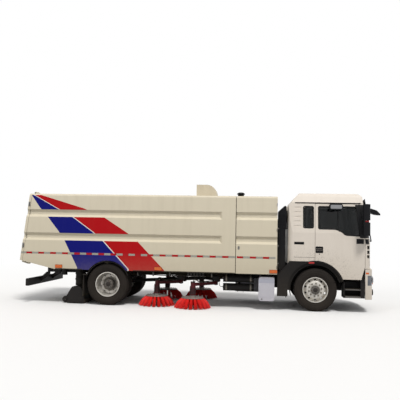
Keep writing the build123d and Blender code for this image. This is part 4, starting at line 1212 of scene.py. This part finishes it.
def makeMarkers():
    for name, (body, places) in markerTable.items():
        rims = bmesh.new()
        for x in places:
            for sign in sides.values():
                wide, high = (x - 0.092, x + 0.092), (0.876, 0.959)
                addPanel(rims, 1, sign * 1.2415, wide, high, sign * 0.006, 0.012, 0.006)
        dress(rims, f"marker_rims_{name}", body, "plastic")


rearBar = {
    "face": -4.198,
    "lampZ": 0.510,
    "redY": (0.955, 1.050),
    "amberY": (1.145,),
    "boltY": (0.16, 0.62),
}


def makeRearBar():
    red, amber, steel = fresh(3)
    x = rearBar["face"]
    for sign in sides.values():
        for mesh, places in ((red, rearBar["redY"]), (amber, rearBar["amberY"])):
            for y in places:
                start, end = [(x - out, sign * y, rearBar["lampZ"]) for out in (0, 0.0015)]
                addRod(mesh, start, end, 0.040, 0.038, 24)
        for y in rearBar["boltY"]:
            addNut(steel, (x - 0.001, sign * y, 0.565), (-1, 0, 0), 0.010, 0.008)
    dress(red, "tail_lamp_red", "chassis", "redLens")
    dress(amber, "tail_lamp_amber", "chassis", "amberLens")
    dress(steel, "rear_bar_bolts", "chassis", "steel")


makeTailgateTrim()
makeRoofGear()
makeHopperGear()
makeHousingGear()
makeRainCap()
makeMarkers()
makeRearBar()
print("body trim done")


tankTrim = {
    "side": -1.1805,
    "band": ((1.516, 1.880), (0.640, 0.742)),
    "seam": ((1.530, 1.866), (0.300, 0.615)),
    "strapX": (1.11, 1.67),
    # y and z of a strap's run round the fuel tank
    "strap": ((0.60, 0.805), (1.06, 0.805), (1.150, 0.80), (1.155, 0.69), (1.155, 0.36), (1.150, 0.252),
              (1.06, 0.246), (0.60, 0.246)),
}


def makeTankTrim():
    steel, band, cap, strap = fresh(4)
    addPanel(band, 1, tankTrim["side"], *tankTrim["band"], -0.0018, 0.01)
    addPanel(steel, 1, tankTrim["side"] - 0.0001, *tankTrim["seam"], -0.0016, 0.05, 0.006)
    upRod(cap, 1.80, -1.05, (0.776, 0.806), 0.045, 0.040, 24)
    sideRod(cap, sides["right"], 1.590, (1.178, 1.190), 0.262, 0.014, None, 12)
    upRod(cap, 1.30, 0.98, (0.796, 0.822), 0.055, 0.048, 24)
    for x in tankTrim["strapX"]:
        addPipe(strap, [(x, y, z) for y, z in tankTrim["strap"]], 0.010)
    dress(band, "side_tank_band", "chassis", "tankBand")
    dress(steel, "side_tank_seam", "chassis", "tank")
    dress(cap, "tank_caps", "chassis", "plastic")
    dress(strap, "tank_straps", "chassis", "steel")


airGear = {
    "y": -0.64,
    "z": (0.480, 0.690),
    "bandX": (0.72, 1.32),
    "rail": ((0.50, -0.50, 0.80), (0.42, -0.445, 0.86), (0.10, -0.438, 0.88)),  # where the pipes join it
}


def makeAirGear():
    steel, pipe = fresh(2)
    y = airGear["y"]
    for z in airGear["z"]:
        for x in airGear["bandX"]:
            band = [(x + half, y - 0.0935, z) for half in (-0.018, 0.018)]
            addSpin(steel, band, (x, y, z), (1, 0, 0), 36)
            addNut(steel, (x, y - 0.094, z), (0, -1, 0), 0.010, 0.016)
        addNut(steel, (0.640, y, z), (-1, 0, 0), 0.020, 0.018)
        addPipe(pipe, [(0.622, y, z), (0.56, y, z), (0.54, y + 0.04, z + 0.05), *airGear["rail"]], 0.007)
        upRod(steel, 1.0, y, (z - 0.092, z - 0.112), 0.012, None, 10)
    dress(steel, "air_tank_bands", "chassis", "nut")
    dress(pipe, "air_pipes", "chassis", "seal")


railGear = {
    "boltZ": (0.775, 0.915),
    "pipes": ((0.865, 0.008), (0.842, 0.006), (0.826, 0.006)),  # height, radius
    "run": ((-3.7, 0.442), (-2.6, 0.444), (-0.9, 0.444), (0.6, 0.442), (2.1, 0.442)),
    "brackets": ((0.445, 0.500), (-0.455, 0.43)),
}


def makeRailGear():
    bolts, pipe, hose = fresh(3)
    for sign in sides.values():
        for k in range(34):
            for z in railGear["boltZ"]:
                sideRod(bolts, sign, -3.85 + k * 0.235, (0.430, 0.440), z, 0.011, None, 6)
        for z, radius in railGear["pipes"]:
            addPipe(pipe, [(x, sign * y, z) for x, y in railGear["run"]], radius)
        for k in range(9):
            x = -3.4 + k * 0.62
            sideBlock(bolts, sign, (x - 0.012, x + 0.012), (0.430, 0.454), (0.815, 0.880), 0.003)
        for x, y in railGear["brackets"]:  # feed lines down to the arms
            run = ((0.20, 0.445, 0.850), (0.16, 0.47, 0.78), (0.11, 0.49, 0.70), (0.085, y, 0.65))
            addPipe(hose, [(x + ahead, sign * out, z) for ahead, out, z in run], 0.009)
    dress(bolts, "rail_bolts", "chassis", "chassis")
    dress(pipe, "rail_pipes", "chassis", "nut")
    dress(hose, "feed_lines", "chassis", "seal")


valves = {
    "start": -0.28,
    "pitch": 0.075,
    "caps": ((0.790, 0.013, 0.022), (0.745, 0.015, 0.030)),  # height, size, length
    # the hoses to the rear and to the front: where they start, their first step, then the bends'
    # start, pitch, sway, lift and number
    "bundles": ((-0.30, -0.14, -0.75, -0.33, 0.012, 0.013, 4), (0.18, 0.10, 0.40, 0.16, 0.010, 0.011, 2)),
    "clampX": (-1.55, -1.15, -0.72, 0.34),
    "drierX": -3.46,
}


def addHoses(mesh, sign, k):
    y, z = 0.470 + 0.018 * (k % 4), 0.700 + 0.030 * (k % 3)
    for rise, bundle in zip((0.012 * (k % 2), 0.010), valves["bundles"]):
        start, step, bend, pitch, sway, lift, count = bundle
        run = [(start, sign * (y + 0.02), z + 0.02), (start + step, sign * (y + 0.02), z + 0.02 + rise)]
        for j in range(count + k % 2):
            run.append((bend + pitch * j, sign * (y - sway * (j % 2)), z + lift * ((j + k) % 3)))
        addPipe(mesh, run, 0.0095, 1)


def makeHydraulics():
    block, hose, steel = fresh(3)
    for sign in sides.values():
        for k in range(6):
            x = valves["start"] + k * valves["pitch"]
            sideBlock(block, sign, (x, x + 0.068), (0.446, 0.585), (0.715, 0.815), 0.008)
            for z, size, length in valves["caps"]:
                addNut(steel, (x + 0.034, sign * 0.585, z), (0, sign, 0), size, length)
            upRod(block, x + 0.034, sign * 0.50, (0.815, 0.838), 0.018, 0.014, 12)
        sideBlock(steel, sign, (-0.31, 0.185), (0.440, 0.560), (0.700, 0.714), 0.003)
        for k in range(7):
            addHoses(hose, sign, k)
        for x in valves["clampX"]:
            sideBlock(steel, sign, (x - 0.014, x + 0.014), (0.432, 0.545), (0.688, 0.790), 0.004)
        upRod(block, valves["drierX"], sign * 0.52, (0.66, 0.80), 0.070, 0.066, 28)
        upRod(block, valves["drierX"], sign * 0.52, (0.80, 0.825), 0.050, None, 24)
        sideBlock(block, sign, (-3.72, -3.58), (0.440, 0.500), (0.68, 0.84), 0.010)
    dress(block, "valve_banks", "chassis", "machine")
    dress(hose, "hose_bundles", "chassis", "seal")
    dress(steel, "bundle_clamps", "chassis", "steel")


armGear = {
    "z": 0.555,
    # pivot and tip of each beam
    "ends": {"front": ((0.445, 0.500), (-0.065, 1.130)), "rear": ((-0.455, 0.350), (-0.985, 0.850))},
    "clips": (0.35, 0.65),
    "coilTurns": 10,
    "coilPoints": 60,
}


def addMotor(shell, steel, tip):
    for k in range(5):
        z = 0.335 + k * 0.032
        upRod(shell, tip.x, tip.y, (z, z + 0.012), 0.077, None, 24)
    upRod(shell, tip.x, tip.y, (0.608, 0.622), 0.060, 0.052, 24)
    for x, y in ringOf(6, 0.041, tip):
        addNut(steel, (x, y, 0.620), (0, 0, 1), 0.008, 0.010)


def addArmFittings(steel, hose, pivot, tip):
    along = (tip - pivot).normalized()
    across = Vector((-along.y, along.x, 0))

    def beside(place, ahead, aside, up):  # a place given along and across the beam
        return place + along * ahead + across * aside + Vector((0, 0, up))

    for shift in (-1, 1):
        port = beside(tip, -0.045, 0.024 * shift, 0.06)
        addNut(steel, port, (0, 0, 1), 0.014, 0.026)
        run = [beside(port, 0, 0, 0.02), beside(port, 0, 0, 0.06), beside(port, -0.05, 0, 0.065)]
        run += [beside(tip, -0.20 - 0.1 * k, 0.026 * shift, 0.054 + 0.004 * (k % 2)) for k in range(4)]
        run += [beside(pivot, 0.12, 0.028 * shift, 0.054), beside(pivot, 0.075, 0.03 * shift, 0.046)]
        addPipe(hose, run, 0.0085)
    for share in armGear["clips"]:
        spot = pivot.lerp(tip, share)
        clip = bmesh.new()
        addBlock(clip, (-0.014, -0.048, 0.030), (0.014, 0.048, 0.046), 0.003)
        clip.transform(Matrix.Translation(spot) @ Matrix.Rotation(atan2(along.y, along.x), 4, "Z"))
        addRound(steel, clip)
        addNut(steel, beside(spot, 0, 0, 0.044), (0, 0, 1), 0.008, 0.012)
    # lifting spring beside the beam
    start, stop = [beside(pivot, ahead, -0.070, 0.012) for ahead in (0.14, 0.44)]
    coil = []
    for k in range(armGear["coilPoints"] + 1):
        share = k / armGear["coilPoints"]
        turn = 2 * pi * armGear["coilTurns"] * share
        coil.append(beside(start.lerp(stop, share), 0, 0.017 * cos(turn), 0.017 * sin(turn)))
    addPipe(steel, coil, 0.0038, 1)
    for place in (start, stop):
        addRod(steel, beside(place, 0, 0.030, 0), beside(place, 0, -0.024, 0), 0.011, segments=10)


def makeArmGear():
    for side, sign in sides.items():
        for end, places in armGear["ends"].items():
            steel, hose, shell = fresh(3)
            pivot, tip = [Vector((x, sign * y, armGear["z"])) for x, y in places]
            addMotor(shell, steel, tip)
            addArmFittings(steel, hose, pivot, tip)
            body = f"arm_{end}_{side}"
            dress(steel, f"arm_fittings_{end}_{side}", body, "steel")
            dress(hose, f"arm_lines_{end}_{side}", body, "seal")
            dress(shell, f"arm_motor_{end}_{side}", body, "machine")


axleGear = {
    "chamber": (-0.13, 0.30, 0.60),  # from the rear axle
    "rearBolts": ((-0.095, 0.095), (0.452, 0.548)),
    "frontBolts": ((-0.075, 0.075), (0.347, 0.443)),
    "cover": (12, 0.165, (0.0, 0.508)),  # bolts, their circle and its middle
}


def makeAxleGear():
    shell, steel = fresh(2)
    for sign in sides.values():
        x, y, z = axleGear["chamber"]
        place = Vector((rearAxleX + x, sign * y, z))
        addRod(shell, place, place + Vector((-0.15, 0, 0.03)), 0.082, segments=28)
        clamp = [place + Vector((-0.065, 0, 0.098)), place + Vector((-0.085, 0, 0.102))]
        addSpin(shell, clamp, place, (-0.98, 0, 0.196), 28)
        addRod(shell, place + Vector((0.09, 0, -0.03)), place, 0.030, segments=16)
        steps, widths = axleGear["rearBolts"]
        for x in [rearAxleX + step for step in steps]:  # U-bolts over the springs
            for y in widths:
                upRod(steel, x, sign * y, (0.415, 0.682), 0.011, None, 10)
                addNut(steel, (x, sign * y, 0.415), (0, 0, -1), 0.018, 0.022)
            sideRod(steel, sign, x, widths, 0.672, 0.011, None, 10)
        sideBlock(shell, sign, (rearAxleX - 0.12, rearAxleX + 0.12), (0.44, 0.56), (0.423, 0.437), 0.003)
        steps, widths = axleGear["frontBolts"]
        for x in [frontAxleX + step for step in steps]:
            for y in widths:
                upRod(steel, x, sign * y, (0.345, 0.520), 0.010, None, 10)
                addNut(steel, (x, sign * y, 0.350), (0, 0, -1), 0.016, 0.020)
    for x, z in ((rearAxleX + 0.30, 0.5175), (2.28, 0.757)):  # joints of the drive shaft
        addRod(steel, (x, -0.062, z), (x, 0.062, z), 0.024, segments=14)
        addRod(shell, (x - 0.035, 0, z), (x + 0.035, 0, z), 0.066, segments=20)
    for y, z in ringOf(*axleGear["cover"]):
        addNut(steel, (rearAxleX - 0.040, y, z), (-1, 0, 0), 0.010, 0.012)
    dress(shell, "brake_gear", "chassis", "machine")
    dress(steel, "spring_bolts", "chassis", "nut")


nozzle = {
    "boltFaces": ((-3.1855, -1), (-2.7745, 1)),
    "skirts": ((-3.187, -0.006), (-2.773, 0.006)),
    "duct": (-2.980, 0.70),
    "ductZ": (0.450, 0.640, 0.780, 0.900),
    "band": ((0.1205, -0.008), (0.127, 0), (0.1205, 0.008)),  # a hose band's radius and height
}


def makeNozzleGear():
    steel, skirt, band = fresh(3)
    for k in range(14):
        for x, out in nozzle["boltFaces"]:
            addNut(steel, (x, -0.975 + k * 0.15, 0.085), (out, 0, 0), 0.010, 0.010)
    for x, out in nozzle["skirts"]:
        addPanel(skirt, 0, x, (-1.03, 1.03), (0.012, 0.105), out, 0.01)
    x, y = nozzle["duct"]
    for sign in sides.values():
        for z in nozzle["ductZ"]:
            profile = [(x + radius, sign * y, z + up) for radius, up in nozzle["band"]]
            addSpin(band, profile, (x, sign * y, z), (0, 0, 1), 40)
        sideRod(steel, sign, -3.262, (0.885, 0.995), 0.09, 0.009, None, 10)
    dress(steel, "nozzle_bolts", "chassis", "nut")
    dress(skirt, "nozzle_skirts", "chassis", "seal")
    dress(band, "duct_bands", "chassis", "plastic")


def makeRearFlaps():
    flap, steel = fresh(2)
    for sign in sides.values():
        addPanel(flap, 0, -2.762, (sign * 1.19, sign * 0.63), (0.20, 0.60), -0.006, 0.012)
        for k in range(5):
            addNut(steel, (-2.768, sign * (0.68 + k * 0.115), 0.57), (-1, 0, 0), 0.009, 0.009)
    dress(flap, "rear_flaps", "chassis", "seal")
    dress(steel, "flap_bolts", "chassis", "nut")


makeTankTrim()
makeAirGear()
makeRailGear()
makeHydraulics()
makeArmGear()
makeAxleGear()
makeNozzleGear()
makeRearFlaps()
print("underside done")


seatShape = {
    "middles": {"right": -0.56, "left": 0.56},
    # low and high corners about the seat's middle line, before the pad swells
    "cushion": ((2.932, -0.247, 1.512), (3.408, 0.247, 1.628)),
    "back": ((2.936, -0.238, 1.655), (3.024, 0.238, 2.288)),
    "backLean": -0.105,
    "channels": (-0.13, 0.13),
    "voxel": 0.009,
    "cap": 0.012,
    "floor": 1.152,
    "pipingZ": 1.572,
    "piping": ((2.925, -0.20), (2.925, 0.20), (2.96, 0.252), (3.36, 0.252), (3.413, 0.20), (3.413, -0.20),
               (3.36, -0.252), (2.96, -0.252)),
}


def bakeModifiers(pad):
    shape = pad.evaluated_get(bpy.context.evaluated_depsgraph_get())
    data = bpy.data.meshes.new_from_object(shape)
    pad.modifiers.clear()
    pad.data = data


def padBlock(name, low, high, lean):
    mesh = bmesh.new()
    addBlock(mesh, low, high, 0.030, 3)
    for vert in mesh.verts:
        vert.co.x += lean * (vert.co.z - low[2])
    pad = finishMesh(mesh, name)
    remesh = pad.modifiers.new("voxels", "REMESH")
    remesh.mode = "VOXEL"
    remesh.voxel_size = seatShape["voxel"]
    bakeModifiers(pad)
    return pad


def swell(pad):  # cloth blown up by pressure, each point held near its start
    start = [vert.co.copy() for vert in pad.data.vertices]
    cloth = pad.modifiers.new("swell", "CLOTH")
    cloth.settings.use_pressure = True
    cloth.settings.uniform_pressure_force = 4
    cloth.settings.effector_weights.gravity = 0
    cloth.point_cache.frame_end = 20
    for frameNumber in range(1, 21):
        bpy.context.scene.frame_set(frameNumber)
    bakeModifiers(pad)
    bpy.context.scene.frame_set(1)
    for vert, home in zip(pad.data.vertices, start):
        moved = vert.co - home
        if moved.length > seatShape["cap"]:
            vert.co = home + moved.normalized() * seatShape["cap"]


def sew(pad, axis):  # sewn channels pressed into the pad's face
    pad.data.update()
    for vert in pad.data.vertices:
        facing = vert.normal[axis]
        if facing >= 0.4:
            for place in seatShape["channels"]:
                dip = max(0.0, 1 - abs(vert.co.y - place) / 0.016)
                vert.co[axis] -= 0.009 * dip * facing


def seatCloth():
    finish = Finish("seat_cloth", Specular_IOR_Level=0.15, Sheen_Weight=0.25)
    weave = (finish.y * 700).sine() * ((finish.x + finish.z) * 700).sine()
    middle = finish.band(abs(abs(finish.y) - 0.56), -1, 0.13, 0.004)
    plain = finish.mix(finish.noise(6, 4) * 0.5, srgb(84, 84, 90), srgb(60, 60, 66))
    inset = finish.mix(finish.step(weave, 0, 0.8), srgb(128, 130, 138), srgb(92, 96, 104))
    paint = finish.mix(middle, plain, inset)
    rough = 0.85 + finish.noise(20, 3) * 0.1
    return finish.set(Base_Color=paint, Roughness=rough, Normal=finish.bump(weave, 0.4, 0.0008))


def makePads():
    cloth, shapes = seatCloth(), {}
    for part, lean, axis in (("cushion", 0.0, 2), ("back", seatShape["backLean"], 0)):
        pad = padBlock("seat_" + part, *seatShape[part], lean)
        swell(pad)
        sew(pad, axis)
        shapes[part] = pad.data
        bpy.data.objects.remove(pad)
        shapes[part].materials.clear()
        shapes[part].materials.append(cloth.material)
    return shapes


def placePad(name, data, middle):
    data = data.copy()
    data.transform(Matrix.Translation((0, middle, 0)))
    data.shade_smooth()
    pad = pieceOf(name, data)
    pad.modifiers.new("round", "SUBSURF").levels = 1
    pad.modifiers["round"].render_levels = 1
    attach(pad, "chassis")
    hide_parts("seats")


def addSeatBase(mesh, middle):
    floor = seatShape["floor"]

    def plinth(x, half, z, edge):
        addBlock(mesh, (x[0], middle - half, z[0]), (x[1], middle + half, z[1]), edge)

    plinth((2.960, 3.330), 0.19, (floor, floor + 0.05), 0.008)
    for k in range(5):  # bellows of the sprung seat
        z = floor + 0.05 + k * 0.047
        plinth((2.985, 3.305), 0.17, (z, z + 0.045), 0.018)
    plinth((2.960, 3.335), 0.20, (floor + 0.286, 1.498), 0.012)
    for end in (-1, 1):
        y = middle + end * 0.235
        addBlock(mesh, (2.94, y - 0.012, 1.44), (3.10, y + 0.012, 1.52), 0.008)
        addRod(mesh, (2.975, middle + end * 0.25, 1.60), (2.975, middle + end * 0.222, 1.60), 0.034)


def makeSeats():
    shapes = makePads()
    for side, middle in seatShape["middles"].items():
        for part, data in shapes.items():
            placePad(f"seat_{part}_{side}", data, middle)
        base, piping = fresh(2)
        addSeatBase(base, middle)
        dress(base, f"seat_base_{side}", "chassis", "trim")
        ring = [(x, middle + y, seatShape["pipingZ"]) for x, y in seatShape["piping"]]
        addPipe(piping, ring + ring[:2], 0.005)
        dress(piping, f"seat_piping_{side}", "chassis", "seal")


dash = {
    "dials": ((0.44, 0.045), (0.56, 0.058), (0.68, 0.045)),  # y, radius
    "dialPlace": (3.752, 1.735),
    "dialLean": (-0.82, 0, 0.57),
    "outletY": (-0.95, -0.12, 0.12, 0.95),
    "outlet": ((3.726, 1.62), (3.721, 1.68)),
    "radio": ((3.733, 1.55), (3.729, 1.61)),
    "pedalY": (0.40, 0.56, 0.70),
    "pedal": ((3.75, 1.235), (3.715, 1.300)),
    # gear lever, knob and boot: foot, top, radii and segments
    "lever": (
        ((3.55, 1.155), (3.52, 1.50), 0.010, None, 10),
        ((3.52, 1.49), (3.516, 1.545), 0.026, 0.020, 16),
        ((3.555, 1.152), (3.548, 1.23), 0.060, 0.014, 16),
    ),
    "leverY": 0.16,
}


def makeDash():
    dark, bright = fresh(2)

    def addPad(edges, y, half, thick, roundness):  # a leaned plate facing the driver
        foot, top = [[(x, y + side, z) for side in (-half, half)] for x, z in edges]
        addPlate(dark, foot + top[::-1], thick, roundness)

    lean = Vector(dash["dialLean"])
    for y, size in dash["dials"]:
        centre = Vector((dash["dialPlace"][0], y, dash["dialPlace"][1]))
        addRod(bright, centre, centre + lean * 0.012, size, segments=28)
        addRod(dark, centre + lean * 0.006, centre + lean * 0.014, size - 0.006, segments=28)
    for y in dash["outletY"]:
        addPad(dash["outlet"], y, 0.07, (-0.006, 0, 0), 0.012)
        for k in range(4):
            z = 1.628 + k * 0.013
            addBlock(bright, (3.714, y - 0.062, z), (3.718, y + 0.062, z + 0.004))
    addPad(dash["radio"], 0, 0.10, (-0.008, 0, 0), 0.01)
    for (x, z), (topX, top), radius, tip, segments in dash["lever"]:
        addRod(dark, (x, dash["leverY"], z), (topX, dash["leverY"], top), radius, tip, segments)
    for y in dash["pedalY"]:
        addRod(dark, (3.86, y, 1.40), (3.74, y, 1.262), 0.008, segments=8)
        addPad(dash["pedal"], y, 0.035, (-0.008, 0, -0.004), 0.008)
    dress(dark, "dash_dark", "chassis", "dark")
    dress(bright, "dash_bright", "chassis", "chrome")


makeSeats()
makeDash()
print("inside done")
